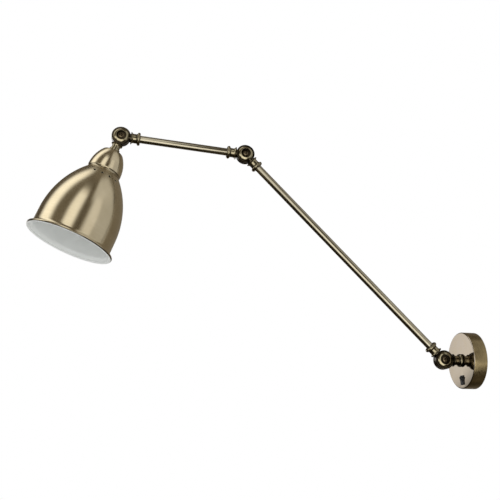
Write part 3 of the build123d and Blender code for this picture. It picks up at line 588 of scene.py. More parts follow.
def turned_tree():
    """Tree that turns a profile of points about Z, as a lathe does, with an optional rolled thread."""
    tree, given = new_tree(
        "turned_piece",
        {
            "Profile": "Geometry",
            "Segments": "Int",
            "Thread Depth": "Float",
            "Thread Pitch": "Float",
            "Inner Row": "Int",
            "Outer Material": "Material",
            "Inner Material": "Material",
        },
    )
    rows = add_node(tree, "GeometryNodeAttributeDomainSize", {"Geometry": given["Profile"]}, component="MESH")
    last_row = add_node(tree, "ShaderNodeMath", {0: rows, 1: 1}, operation="SUBTRACT")
    across = add_node(tree, "ShaderNodeMath", {0: given["Segments"], 1: 1}, operation="ADD")
    size = {"Size X": 1.0, "Size Y": 1.0, "Vertices X": across, "Vertices Y": rows}
    made = add_node(tree, "GeometryNodeMeshGrid", size)
    # The flat grid's X is the turn about the axis, its Y the row of the profile
    position = add_node(tree, "GeometryNodeInputPosition")
    flat = add_node(tree, "ShaderNodeSeparateXYZ", {"Vector": position}).outputs
    turn = add_node(tree, "ShaderNodeMath", {0: flat["X"], 1: 0.5}, operation="ADD")
    up = add_node(tree, "ShaderNodeMath", {0: flat["Y"], 1: 0.5}, operation="ADD")
    row = add_node(tree, "ShaderNodeMath", {0: up, 1: last_row}, operation="MULTIPLY")
    index = add_node(tree, "ShaderNodeMath", {0: row}, operation="ROUND")
    sampled = {}
    for name, kind in (("position", "FLOAT_VECTOR"), ("along", "FLOAT"), ("antique", "FLOAT")):
        value = add_node(tree, "GeometryNodeInputNamedAttribute", {"Name": name}, data_type=kind)
        source = {"Geometry": given["Profile"], "Value": value, "Index": index}
        sampled[name] = add_node(tree, "GeometryNodeSampleIndex", source, data_type=kind)
    uv = add_node(tree, "ShaderNodeCombineXYZ", {"X": turn, "Y": sampled["along"]})
    is_inner = add_node(tree, "ShaderNodeMath", {0: row, 1: given["Inner Row"]}, operation="GREATER_THAN")
    for name, value, kind, domain in (
        ("UVMap", uv, "FLOAT2", "CORNER"),
        ("antique", sampled["antique"], "FLOAT", "CORNER"),
        ("inner", is_inner, "BOOLEAN", "FACE"),
    ):
        stored = {"Geometry": made, "Name": name, "Value": value}
        made = add_node(tree, "GeometryNodeStoreNamedAttribute", stored, data_type=kind, domain=domain)
    # A thread swings the radius in and out as it climbs
    profile = add_node(tree, "ShaderNodeSeparateXYZ", {"Vector": sampled["position"]}).outputs
    angle = add_node(tree, "ShaderNodeMath", {0: turn, 1: 2 * pi}, operation="MULTIPLY")
    turns = add_node(tree, "ShaderNodeMath", {0: profile["Z"], 1: given["Thread Pitch"]}, operation="DIVIDE")
    climb = add_node(tree, "ShaderNodeMath", {0: turns, 1: 2 * pi}, operation="MULTIPLY")
    behind = add_node(tree, "ShaderNodeMath", {0: angle, 1: climb}, operation="SUBTRACT")
    wave = add_node(tree, "ShaderNodeMath", {0: behind}, operation="SINE")
    swing = add_node(tree, "ShaderNodeMath", {0: wave, 1: given["Thread Depth"]}, operation="MULTIPLY")
    radius = add_node(tree, "ShaderNodeMath", {0: profile["X"], 1: swing}, operation="ADD")
    place = {"Z": profile["Z"]}
    for axis, operation in (("X", "COSINE"), ("Y", "SINE")):
        share = add_node(tree, "ShaderNodeMath", {0: angle}, operation=operation)
        place[axis] = add_node(tree, "ShaderNodeMath", {0: radius, 1: share}, operation="MULTIPLY")
    round_place = add_node(tree, "ShaderNodeCombineXYZ", place)
    made = add_node(tree, "GeometryNodeSetPosition", {"Geometry": made, "Position": round_place})
    made = add_node(tree, "GeometryNodeMergeByDistance", {"Geometry": made, "Distance": WELD})
    made = add_node(tree, "GeometryNodeRealizeInstances", {"Geometry": made})
    made = add_node(tree, "GeometryNodeSetMaterial", {"Geometry": made, "Material": given["Outer Material"]})
    inner = add_node(tree, "GeometryNodeInputNamedAttribute", {"Name": "inner"}, data_type="BOOLEAN")
    finish = {"Geometry": made, "Selection": inner, "Material": given["Inner Material"]}
    made = add_node(tree, "GeometryNodeSetMaterial", finish)
    add_node(tree, "NodeGroupOutput", {"Geometry": made})
    return tree


def vent_tree():
    """Tree that drills a ring of leaning holes through a turned shell."""
    tree, given = new_tree(
        "vent_ring",
        {
            "Geometry": "Geometry",
            "Count": "Int",
            "Ring Radius": "Float",
            "Ring Place": "Float",
            "Phase": "Float",
            "Lean": "Float",
            "Hole Radius": "Float",
            "Drill Length": "Float",
            "Edge Material": "Material",
        },
    )
    circle = {"Vertices": given["Count"], "Radius": given["Ring Radius"]}
    ring = add_node(tree, "GeometryNodeMeshCircle", circle)
    place = add_node(tree, "ShaderNodeCombineXYZ", {"Z": given["Ring Place"]})
    turn = add_node(tree, "ShaderNodeCombineXYZ", {"Z": given["Phase"]})
    moved = {"Geometry": ring, "Translation": place, "Rotation": turn}
    placed = add_node(tree, "GeometryNodeTransform", moved)
    # A drill points straight out from the axis, tipped by the lean
    position = add_node(tree, "GeometryNodeInputPosition")
    outward = add_node(tree, "ShaderNodeVectorMath", {0: position, 1: (1, 1, 0)}, operation="MULTIPLY")
    unit = add_node(tree, "ShaderNodeVectorMath", {0: outward}, operation="NORMALIZE")
    slope = add_node(tree, "ShaderNodeMath", {0: given["Lean"]}, operation="TANGENT")
    tip = add_node(tree, "ShaderNodeCombineXYZ", {"Z": slope})
    way = add_node(tree, "ShaderNodeVectorMath", {0: unit, 1: tip}, operation="ADD")
    aim = add_node(tree, "FunctionNodeAlignRotationToVector", {"Vector": way}, axis="Z")
    size = {"Vertices": 24, "Radius": given["Hole Radius"], "Depth": given["Drill Length"]}
    bit = add_node(tree, "GeometryNodeMeshCylinder", size)
    copies = {"Points": placed, "Instance": bit, "Rotation": aim}
    bits = add_node(tree, "GeometryNodeInstanceOnPoints", copies)
    solid = add_node(tree, "GeometryNodeRealizeInstances", {"Geometry": bits})
    mark = {"Geometry": solid, "Name": "drilled", "Value": True}
    tool = add_node(tree, "GeometryNodeStoreNamedAttribute", mark, data_type="BOOLEAN", domain="FACE")
    solids = {"Mesh 1": given["Geometry"], "Mesh 2": tool}
    made = add_node(tree, "GeometryNodeMeshBoolean", solids, operation="DIFFERENCE", solver="EXACT")
    made = add_node(tree, "GeometryNodeRealizeInstances", {"Geometry": made})
    drilled = add_node(tree, "GeometryNodeInputNamedAttribute", {"Name": "drilled"}, data_type="BOOLEAN")
    finish = {"Geometry": made, "Selection": drilled, "Material": given["Edge Material"]}
    made = add_node(tree, "GeometryNodeSetMaterial", finish)
    add_node(tree, "NodeGroupOutput", {"Geometry": made})
    return tree


def set_out_tree():
    """Tree that sets a copy of a piece on each point, with its Z along the point's facing."""
    tree, given = new_tree("set_out", {"Points": "Geometry", "Piece": "Object", "Material": "Material"})
    facing = add_node(tree, "GeometryNodeInputNamedAttribute", {"Name": "facing"}, data_type="FLOAT_VECTOR")
    aim = add_node(tree, "FunctionNodeAlignRotationToVector", {"Vector": facing}, axis="Z")
    model = add_node(tree, "GeometryNodeObjectInfo", {"Object": given["Piece"]}).outputs["Geometry"]
    copies = {"Points": given["Points"], "Instance": model, "Rotation": aim}
    made = add_node(tree, "GeometryNodeInstanceOnPoints", copies)
    made = add_node(tree, "GeometryNodeRealizeInstances", {"Geometry": made})
    made = add_node(tree, "GeometryNodeSetMaterial", {"Geometry": made, "Material": given["Material"]})
    add_node(tree, "NodeGroupOutput", {"Geometry": made})
    return tree


# Meshes


def show(name, mesh):
    """New object for a mesh, in the scene."""
    made = bpy.data.objects.new(name, mesh)
    bpy.context.scene.collection.objects.link(made)
    return made


def plain_mesh(worker):
    """Mesh of an object with its modifiers applied; the object is removed."""
    depsgraph = bpy.context.evaluated_depsgraph_get()
    made = bpy.data.meshes.new_from_object(
        worker.evaluated_get(depsgraph), preserve_all_data_layers=True, depsgraph=depsgraph
    )
    bpy.data.objects.remove(worker)
    return made


def through_tree(mesh, make_tree, values):
    """Mesh that a geometry tree makes of a mesh, with the tree's inputs set by name."""
    worker = show("worker", mesh)
    modifier = worker.modifiers.new("tree", "NODES")
    name = make_tree.__name__
    if name not in bpy.data.node_groups:
        make_tree().name = name
    modifier.node_group = bpy.data.node_groups[name]
    for socket in modifier.node_group.interface.items_tree:
        if socket.in_out == "INPUT" and socket.name in values:
            modifier[socket.identifier] = values[socket.name]
    return plain_mesh(worker)


def tidy(mesh, crease=35.0):
    """Face a closed mesh outwards and shade it smooth up to the crease angle."""
    work = bmesh.new()
    work.from_mesh(mesh)
    bmesh.ops.recalc_face_normals(work, faces=work.faces)
    work.to_mesh(mesh)
    work.free()
    mesh.shade_smooth()
    mesh.set_sharp_from_angle(angle=radians(crease))
    return mesh


def turned(outline, material, inner=None, inner_row=None, segments=96, thread=(0.0, 1.0), antique=None):
    """Closed mesh of an outline turned about Z, with another material from inner_row on.

    A thread has a depth and a pitch. The list antique gives each point its share of brown, which is antique brown
    and painted shade.
    """
    profile = bpy.data.meshes.new("profile")
    profile.from_pydata([(point.x, 0, point.y) for point in outline], [], [])
    along = [0.0]
    for here, there in zip(outline, outline[1:]):
        along.append(along[-1] + (there - here).length)
    profile.attributes.new("along", "FLOAT", "POINT").data.foreach_set("value", along)
    brown = antique or [0.0] * len(outline)
    profile.attributes.new("antique", "FLOAT", "POINT").data.foreach_set("value", brown)
    made = through_tree(
        profile,
        turned_tree,
        {
            "Segments": segments,
            "Thread Depth": thread[0],
            "Thread Pitch": thread[1],
            "Inner Row": len(outline) if inner_row is None else inner_row,
            "Outer Material": material,
            "Inner Material": inner or material,
        },
    )
    return tidy(made)


def stud(radius, start, end, rounds, material, segments=96):
    """Plain round bar along Z with its two rims rounded off by rounds."""
    corners = [(0, start, 0), (radius, start, rounds[0]), (radius, end, rounds[1]), (0, end, 0)]
    return turned(rounded(corners, closed=False), material, segments=segments)


def set_out(mesh, places, material):
    """Copies of a mesh at places of (point, facing)."""
    points = bpy.data.meshes.new("points")
    points.from_pydata([point for point, facing in places], [], [])
    facings = [value for point, facing in places for value in facing]
    points.attributes.new("facing", "FLOAT_VECTOR", "POINT").data.foreach_set("vector", facings)
    model = show("model", mesh)
    made = through_tree(points, set_out_tree, {"Piece": model, "Material": material})
    bpy.data.objects.remove(model)
    return tidy(made)


def combined(base, tool, operation):
    """Mesh of base after a boolean operation with tool."""
    worker, other = show("worker", base), show("tool", tool)
    modifier = worker.modifiers.new("boolean", "BOOLEAN")
    modifier.operation = operation
    modifier.solver = "EXACT"
    modifier.object = other
    made = plain_mesh(worker)
    bpy.data.objects.remove(other)
    return made


def block(size, centre):
    """Box mesh for cutting."""
    work = bmesh.new()
    bmesh.ops.create_cube(work, size=1, matrix=Matrix.Translation(centre) @ Matrix.Diagonal((*size, 1)))
    made = bpy.data.meshes.new("block")
    work.to_mesh(made)
    work.free()
    return made


def drill(radius, depth, matrix, sides=48):
    """Cylinder mesh for cutting, centred on its matrix with its axis along Z."""
    work = bmesh.new()
    bmesh.ops.create_cone(
        work, cap_ends=True, segments=sides, radius1=radius, radius2=radius, depth=depth, matrix=matrix
    )
    made = bpy.data.meshes.new("drill")
    work.to_mesh(made)
    work.free()
    return made


def standing(origin, way, side):
    """Matrix that takes Z to way and X to side, at origin."""
    axis = Vector(way).normalized()
    across = Vector(side).normalized()
    return Matrix.Translation(origin) @ Matrix((across, axis.cross(across), axis)).transposed().to_4x4()


def piece(name, mesh, node, matrix=None):
    """Show a mesh for a CAD node: it rides on that node's body, and the node is hidden."""
    if matrix is not None:
        mesh = mesh.copy()
        mesh.transform(matrix)
    mesh.name = name
    made = show(name, mesh)
    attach(made, body_of[node])
    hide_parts(node)
    return made


def softened(name, node, material, width, crease=35.0):
    """Show a prismatic CAD node with its edges rounded off by width."""
    mesh = frame["nodes"][node].data.copy()
    work = bmesh.new()
    work.from_mesh(mesh)
    bmesh.ops.remove_doubles(work, verts=work.verts, dist=WELD)
    bmesh.ops.dissolve_limit(work, angle_limit=radians(1), verts=work.verts, edges=work.edges)
    work.to_mesh(mesh)
    work.free()
    mesh.materials.clear()
    mesh.materials.append(material)
    worker = show("worker", mesh)
    bevel = worker.modifiers.new("edges", "BEVEL")
    bevel.width = width
    bevel.segments = 3
    bevel.limit_method = "ANGLE"
    bevel.angle_limit = radians(crease)
    return piece(name, tidy(plain_mesh(worker), crease), node)


def finish_nodes(material, *nodes):
    """Give CAD nodes that stay in view their material."""
    for node in nodes:
        mesh = frame["nodes"][node].data
        mesh.materials.clear()
        mesh.materials.append(material)


# Outlines of the pieces


def knuckle_places(sizes):
    """Places along a knuckle's neck from the joint: shoulder start and end, neck start and end."""
    shoulder_start = sizes.disc_radius + sizes.clearance
    shoulder_end = shoulder_start + sizes.shoulder_width
    neck_start = shoulder_end + sizes.neck_flare
    return shoulder_start, shoulder_end, neck_start, neck_start + sizes.neck_length


def disc_outline(sizes):
    """Half disc about its pivot: flat seat, flange with a rounded edge, raised crown and recess.

    Returns its outline and where that is brown: antique brown, and painted shade and painted dark reflection on
    the seat, flange and recess; the crown is left bright.
    """
    seat = sizes.seat_gap / 2
    face = sizes.width / 2
    flange = face - sizes.crown_rise
    floor = face - sizes.recess_depth
    small = sizes.edge_round
    foot = Vector((sizes.crown_foot, flange))
    top = Vector((sizes.crown_top, face))
    lower = rounded(
        [
            (sizes.pin_radius, seat, 0),
            (sizes.disc_radius, seat, small),
            (sizes.disc_radius, flange, sizes.disc_round),
            (*foot, 0),
        ],
        closed=False,
    )
    crown = bow(foot, top, sizes.crown_bulge, steps=16)
    upper = rounded(
        [
            (*top, 0),
            (sizes.recess_radius, face, small / 2),
            (sizes.recess_radius, floor, small),
            (sizes.pin_radius, floor, 0),
        ],
        closed=False,
    )
    # Painted shade and dark reflection on the seat, flange and recess; none on the crown
    brown = [1.0] * len(lower) + [0.0] * len(crown) + [1.0] * len(upper)
    return lower + crown + upper[1:] + lower[:1], brown


def neck_outline(sizes, shoulder, neck, reach):
    """Neck about its axis: root in the disc, shoulder, flared waist, threaded spigot and cable bore.

    Returns its outline and where that is brown: antique brown and painted shade, thinnest on the waist.
    """
    shoulder_start, shoulder_end, neck_start, neck_end = knuckle_places(sizes)
    root = shoulder_start - sizes.web_length
    tip = neck_end + reach
    small = sizes.edge_round
    flare_end = Vector((neck, neck_start))
    flare = arc(flare_end, (0, -1), (shoulder, shoulder_end), steps=12)[::-1] + [flare_end]
    lower = rounded(
        [
            (0, root, 0),
            (sizes.web_radius, root, 0),
            (sizes.web_radius, shoulder_start, 0),
            (shoulder, shoulder_start, small),
            (shoulder, shoulder_end, 0),
        ],
        closed=False,
    )
    upper = rounded(
        [
            (neck, neck_start, 0),
            (neck, neck_end, small),
            (sizes.spigot_radius, neck_end, 0),
            (sizes.spigot_radius, tip, small),
            (sizes.cable_bore, tip, 0),
            (sizes.cable_bore, shoulder_end, 0),
            (0, shoulder_end, 0),
        ],
        closed=False,
    )
    outline = lower[:-1] + flare + upper[1:]
    # Painted shade on the root, shoulder and spigot; the waist keeps little, so its highlight shows
    waist_brown, rest_brown = 0.1, 0.9
    return outline, [waist_brown if shoulder_end < point.y < neck_end else rest_brown for point in outline]


def knuckle_mesh(sizes, shoulder, neck, reach, material):
    """One knuckle half: pivot along X with its disc on the +X side, neck along Z."""
    pivot = standing((0, 0, 0), NEAR, -UP)
    sides = 160
    outline, brown = disc_outline(sizes)
    disc = turned(outline, material, segments=sides, antique=brown)
    disc.transform(pivot)
    outline, brown = neck_outline(sizes, shoulder, neck, reach)
    neck_part = turned(outline, material, segments=112, antique=brown)
    whole = combined(disc, neck_part, "UNION")
    # Room for the other half's disc
    seat = sizes.seat_gap / 2
    room_radius = sizes.disc_radius + sizes.clearance
    room_depth = seat + shoulder
    room_middle = pivot @ Matrix.Translation((0, 0, seat - room_depth / 2))
    room = drill(room_radius, room_depth, room_middle, sides)
    made = combined(whole, room, "DIFFERENCE")
    made.materials.clear()
    made.materials.append(material)
    return tidy(made, crease=40)


def collar_outline(sizes, tube_radius):
    """Collar bead from the neck to the tube, along the neck's axis.

    Returns its outline and where that is brown: antique brown and painted shade, thinner on the bead's crown.
    """
    *_, start = knuckle_places(sizes)
    end = start + sizes.collar_length
    bead_end = end - sizes.bead_foot
    bead_start = bead_end - sizes.bead_width
    edge = sizes.bead_radius - sizes.bead_crown
    foot = Vector((sizes.neck_radius + sizes.collar_lip, start))
    hole = sizes.spigot_radius + FIT
    seat = tube_radius + FIT
    seat_end = end - sizes.collar_seat
    rise = arc(foot, (0, 1), (edge, bead_start))
    bead = bow((edge, bead_start), (edge, bead_end), sizes.bead_crown, steps=16)
    rest = rounded(
        [
            (edge, bead_end, 0),
            (edge - sizes.bead_foot, end, sizes.edge_round / 2),
            (seat, end, 0),
            (seat, seat_end, 0),
            (hole, seat_end, 0),
            (hole, start, 0),
        ],
        closed=False,
    )
    outline = [Vector((hole, start)), foot] + rise + bead + rest[1:]
    # Painted shade on the flanks and foot; the crown keeps less, so its highlight shows
    crown_brown, rest_brown = 0.3, 0.9
    return outline, [crown_brown if point.x > edge else rest_brown for point in outline]


class SCONCE_OT_canopy(bpy.types.Operator):
    """Wall canopy: a spun cup with a polished front and a brushed side."""

    bl_idname = "sconce.canopy"
    bl_label = "Canopy"

    def execute(self, context):
        sizes = context.scene.sconce_fittings
        radius = high("wall_canopy", 0)
        depth = -low("wall_canopy", 1)
        hole = context.scene.sconce_knuckle.spigot_radius + FIT
        inside = radius - sizes.canopy_wall
        ceiling = depth - sizes.canopy_wall
        edge = sizes.canopy_edge
        rim_edge = 0.3 * MM
        outside = [(inside, 0, 0), (radius, 0, rim_edge), (radius, depth, edge), (hole, depth, 0)]
        side = rounded(outside, closed=False, steps=8)
        hollow = [(hole, depth, 0), (hole, ceiling, 0), (inside, ceiling, edge), (inside, 0, 0)]
        back = rounded(hollow, closed=False, steps=6)
        # The polish reaches over most of the front edge's rounding
        polished_steps = 5
        cup = turned(
            side + back[1:],
            finishes().plate_side,
            finishes().plate_front,
            inner_row=len(side) - 2 - polished_steps,
            segments=192,
        )
        cup.transform(standing((0, 0, 0), -TO_WALL, NEAR))
        # Openings for the switch and for the two grub screws
        bezel_overlap = 0.7 * MM
        opening_low, opening_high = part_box("switch_housing")
        width = 2 * (opening_high.x - bezel_overlap)
        height = opening_high.z - opening_low.z - 2 * bezel_overlap
        middle = Vector((0, -depth, rocker_pivot.z))
        cup = combined(cup, block((width, 4 * sizes.canopy_wall, height), middle), "DIFFERENCE")
        screw_place = (low("canopy_screws", 1) + high("canopy_screws", 1)) / 2
        screw_axis = Matrix.Translation((0, screw_place, 0))
        screw_hole = drill(sizes.grub_radius + 2 * FIT, 3 * radius, screw_axis, sides=32)
        cup = combined(cup, screw_hole, "DIFFERENCE")
        piece("spun_canopy", tidy(cup), "wall_canopy")
        return {"FINISHED"}


class SCONCE_OT_switch(bpy.types.Operator):
    """Rocker switch: moulded housing and rocker, with its blade terminals."""

    bl_idname = "sconce.switch"
    bl_label = "Switch"

    def execute(self, context):
        softened("moulded_switch_housing", "switch_housing", finishes().switch, width=0.25 * MM)
        softened("moulded_switch_rocker", "switch_rocker", finishes().switch, width=0.3 * MM)
        softened("pressed_switch_terminals", "switch_terminals", finishes().contact, width=0.15 * MM)
        return {"FINISHED"}


class SCONCE_OT_knuckles(bpy.types.Operator):
    """Six cast knuckle halves, two on each hinge."""

    bl_idname = "sconce.knuckles"
    bl_label = "Knuckles"

    def execute(self, context):
        sizes = context.scene.sconce_knuckle
        material = finishes().cast
        arm_half = knuckle_mesh(sizes, sizes.shoulder_radius, sizes.neck_radius, sizes.spigot_reach, material)
        stem_half = knuckle_mesh(
            sizes, sizes.stem_shoulder_radius, sizes.stem_neck_radius, sizes.stem_spigot_reach, material
        )
        for node, joint, way, side in (
            ("wall_knuckle", wall_joint, TO_WALL, NEAR),
            ("long_arm_lower_knuckle", wall_joint, long_way, FAR),
            ("long_arm_upper_knuckle", elbow_joint, -long_way, NEAR),
            ("short_arm_rear_knuckle", elbow_joint, short_way, FAR),
            ("short_arm_front_knuckle", head_joint, -short_way, NEAR),
        ):
            piece(f"cast_{node}", arm_half, node, standing(joint, way, side))
        piece("cast_shade_knuckle", stem_half, "shade_knuckle", standing(head_joint, shade_way, FAR))
        return {"FINISHED"}


class SCONCE_OT_collars(bpy.types.Operator):
    """Turned collars: a bead behind each arm's neck and a plain ring on the shade."""

    bl_idname = "sconce.collars"
    bl_label = "Collars"

    def execute(self, context):
        sizes = context.scene.sconce_knuckle
        material = finishes().cast
        outline, brown = collar_outline(sizes, high("long_arm_tube", 0))
        bead = turned(outline, material, segments=112, antique=brown)
        for node, joint, way in (
            ("wall_collar", wall_joint, TO_WALL),
            ("long_arm_lower_collar", wall_joint, long_way),
            ("long_arm_upper_collar", elbow_joint, -long_way),
            ("short_arm_rear_collar", elbow_joint, short_way),
            ("short_arm_front_collar", head_joint, -short_way),
        ):
            piece(f"turned_{node}", bead, node, standing(joint, way, NEAR))
        *_, start = knuckle_places(sizes)
        end = start + sizes.collar_length
        hole = sizes.spigot_radius + FIT
        radius = sizes.stem_collar_radius
        edge = 2 * sizes.edge_round
        outline = rounded([(hole, start, 0), (radius, start, edge), (radius, end, edge), (hole, end, 0)])
        ring = turned(outline, material)
        piece("turned_shade_collar", ring, "shade_collar", standing(head_joint, shade_way, NEAR))
        return {"FINISHED"}


class SCONCE_OT_tubes(bpy.types.Operator):
    """Drawn tubes of the long and the short arm."""

    bl_idname = "sconce.tubes"
    bl_label = "Arm tubes"

    def execute(self, context):
        sizes = context.scene.sconce_knuckle
        wall = context.scene.sconce_fittings.tube_wall
        *_, neck_end = knuckle_places(sizes)
        start = neck_end + sizes.collar_length - sizes.collar_seat
        for node, joint, far_joint in (
            ("long_arm_tube", wall_joint, elbow_joint),
            ("short_arm_tube", elbow_joint, head_joint),
        ):
            reach = far_joint - joint
            end = reach.length - start
            outer = high(node, 0)
            inner = outer - wall
            edge = wall / 4
            corners = [(inner, start, edge), (outer, start, edge), (outer, end, edge), (inner, end, edge)]
            tube = turned(rounded(corners), finishes().tube, segments=80)
            piece(f"drawn_{node}", tube, node, standing(joint, reach, NEAR))
        return {"FINISHED"}


class SCONCE_OT_pivots(bpy.types.Operator):
    """Screw, washers, nut and friction ring of each hinge."""

    bl_idname = "sconce.pivots"
    bl_label = "Pivot screws"

    def execute(self, context):
        knuckle = context.scene.sconce_knuckle
        sizes = context.scene.sconce_fittings
        material = finishes().screw
        shank = knuckle.pin_radius - FIT
        seat = knuckle.width / 2 - knuckle.recess_depth + sizes.washer_thickness
        head = sizes.screw_head_radius
        top = seat + sizes.screw_head_height
        rim_height = top - sizes.screw_dome
        tip = low("wall_pivot_screw", 0)
        tip_edge = 0.3 * MM
        head_edge = 0.2 * MM
        shaft = [(0, tip, 0), (shank, tip, tip_edge), (shank, seat, 0)]
        lower = rounded(shaft + [(head, seat, head_edge), (head, rim_height, 0)], closed=False)
        dome = arc((0, top), (1, 0), (head, rim_height))[::-1]
        screw = turned(lower[:-1] + dome + [Vector((0, top))], material, segments=64)
        drive = (sizes.drive_length, sizes.drive_width)
        for width, height in (drive, drive[::-1]):
            slot = block((width, height, 2 * sizes.drive_depth), (0, 0, top))
            screw = combined(screw, slot, "DIFFERENCE")
        screw.materials.clear()
        screw.materials.append(material)
        tidy(screw)
        for hinge_name, joint in (("wall", wall_joint), ("elbow", elbow_joint), ("head", head_joint)):
            node = f"{hinge_name}_pivot_screw"
            piece(f"turned_{node}", screw, node, standing(joint, NEAR, TO_WALL))
            softened(f"pressed_{hinge_name}_pivot_nut", f"{hinge_name}_pivot_nut", material, width=0.3 * MM)
            finish_nodes(material, f"{hinge_name}_pivot_washer")
            finish_nodes(finishes().zinc, f"{hinge_name}_spring_washer")
            finish_nodes(finishes().fibre, f"{hinge_name}_friction_ring")
        return {"FINISHED"}


class SCONCE_OT_shade(bpy.types.Operator):
    """Spun shade with a ring of vent holes, enamelled inside."""

    bl_idname = "sconce.shade"
    bl_label = "Shade"

    def execute(self, context):
        sizes = context.scene.sconce_shade
        knuckle = context.scene.sconce_knuckle
        *_, neck_end = knuckle_places(knuckle)
        top = neck_end + knuckle.collar_length
        corner_end = Vector((sizes.corner_radius, top + sizes.corner_drop))
        cap_bottom = Vector((sizes.cap_radius, top + sizes.cap_drop))
        skirt_end = cap_bottom + Vector((0, sizes.skirt))
        waist = Vector((sizes.waist_radius, skirt_end.y + sizes.waist_drop))
        bell_start = waist + Vector((sizes.waist_flare, sizes.waist_length))
        bell_side = Vector((sizes.bell_radius, bell_start.y + sizes.bell_height))
        lip_start = bell_side + Vector((0, sizes.straight))
        lip_end = lip_start + Vector((sizes.lip_width, sizes.lip_length))
        flat_end = Vector((sizes.cap_flat, top))
        corner = arc(flat_end, (1, 0), corner_end)
        corner_way = corner[-1] - corner[-2]
        outer = [Vector((sizes.hole_radius, top)), flat_end] + corner
        outer += arc(corner_end, corner_way, cap_bottom, steps=24)
        outer += [(cap_bottom + skirt_end) / 2, skirt_end] + arc(skirt_end, (0, 1), waist, steps=8)
        outer += arc(bell_side, (0, -1), bell_start, steps=56)[::-1]
        outer += [bell_side, (bell_side + lip_start) / 2, lip_start]
        outer += arc(lip_start, (0, 1), lip_end, steps=12)
        # Inner side of the sheet, then the rolled edge that joins the two sides round the lip
        inner = []
        for index, here in enumerate(outer):
            way = outer[min(index + 1, len(outer) - 1)] - outer[max(index - 1, 0)]
            inner.append(here + Vector((-way.y, way.x)).normalized() * sizes.wall)
        outer = [point for point in outer if (point - lip_end).length > sizes.bead]
        inner = [point for point in inner if (point - lip_end).length > sizes.bead]
        first = outer[-1] - lip_end
        last = inner[-1] - lip_end
        start_angle = atan2(first.y, first.x)
        sweep = (atan2(last.y, last.x) - start_angle) % (2 * pi)
        bead_steps = 24
        bead_angles = [start_angle + sweep * step / bead_steps for step in range(bead_steps + 1)]
        bead = [lip_end + turned_by(Vector((sizes.bead, 0)), angle) for angle in bead_angles]
        outline = outer + bead + inner[::-1] + outer[:1]
        # The enamel ends part of the way round the rolled edge
        enamel_edge = radians(60)
        enamel_row = len(outer) + sum(angle < enamel_edge for angle in bead_angles) - 1
        # Brown painted on the rolled edge next to the enamel stands for its dark reflection, and a little in the
        # step under the cap is painted shade
        step_shade = 0.5
        brown = [step_shade if skirt_end.y < point.y < bell_start.y else 0.0 for point in outer]
        brown += [1.0 if angle > 0 else 0.0 for angle in bead_angles]
        brown += [0.0] * (len(outline) - len(brown))
        shell = turned(
            outline,
            finishes().shade,
            finishes().enamel,
            inner_row=enamel_row,
            segments=288,
            antique=brown,
        )
        rise = bell_side.x - bell_start.x
        bell_arc = (rise**2 + sizes.bell_height**2) / (2 * rise)
        beside = sizes.bell_height - sizes.vent_drop
        shell = through_tree(
            shell,
            vent_tree,
            {
                "Count": sizes.vent_count,
                "Ring Radius": bell_side.x - bell_arc + sqrt(bell_arc**2 - beside**2),
                "Ring Place": bell_start.y + sizes.vent_drop,
                "Phase": sizes.vent_phase,
                "Lean": -asin(beside / bell_arc),
                "Hole Radius": sizes.vent_radius,
                "Drill Length": sizes.vent_drill,
                "Edge Material": finishes().shade,
            },
        )
        tidy(shell, crease=50)
        piece("spun_shade", shell, "shade", standing(head_joint, shade_way, NEAR))
        finish_nodes(finishes().zinc, "shade_washer")
        softened("pressed_shade_nut", "shade_nut", finishes().zinc, width=0.4 * MM)
        return {"FINISHED"}


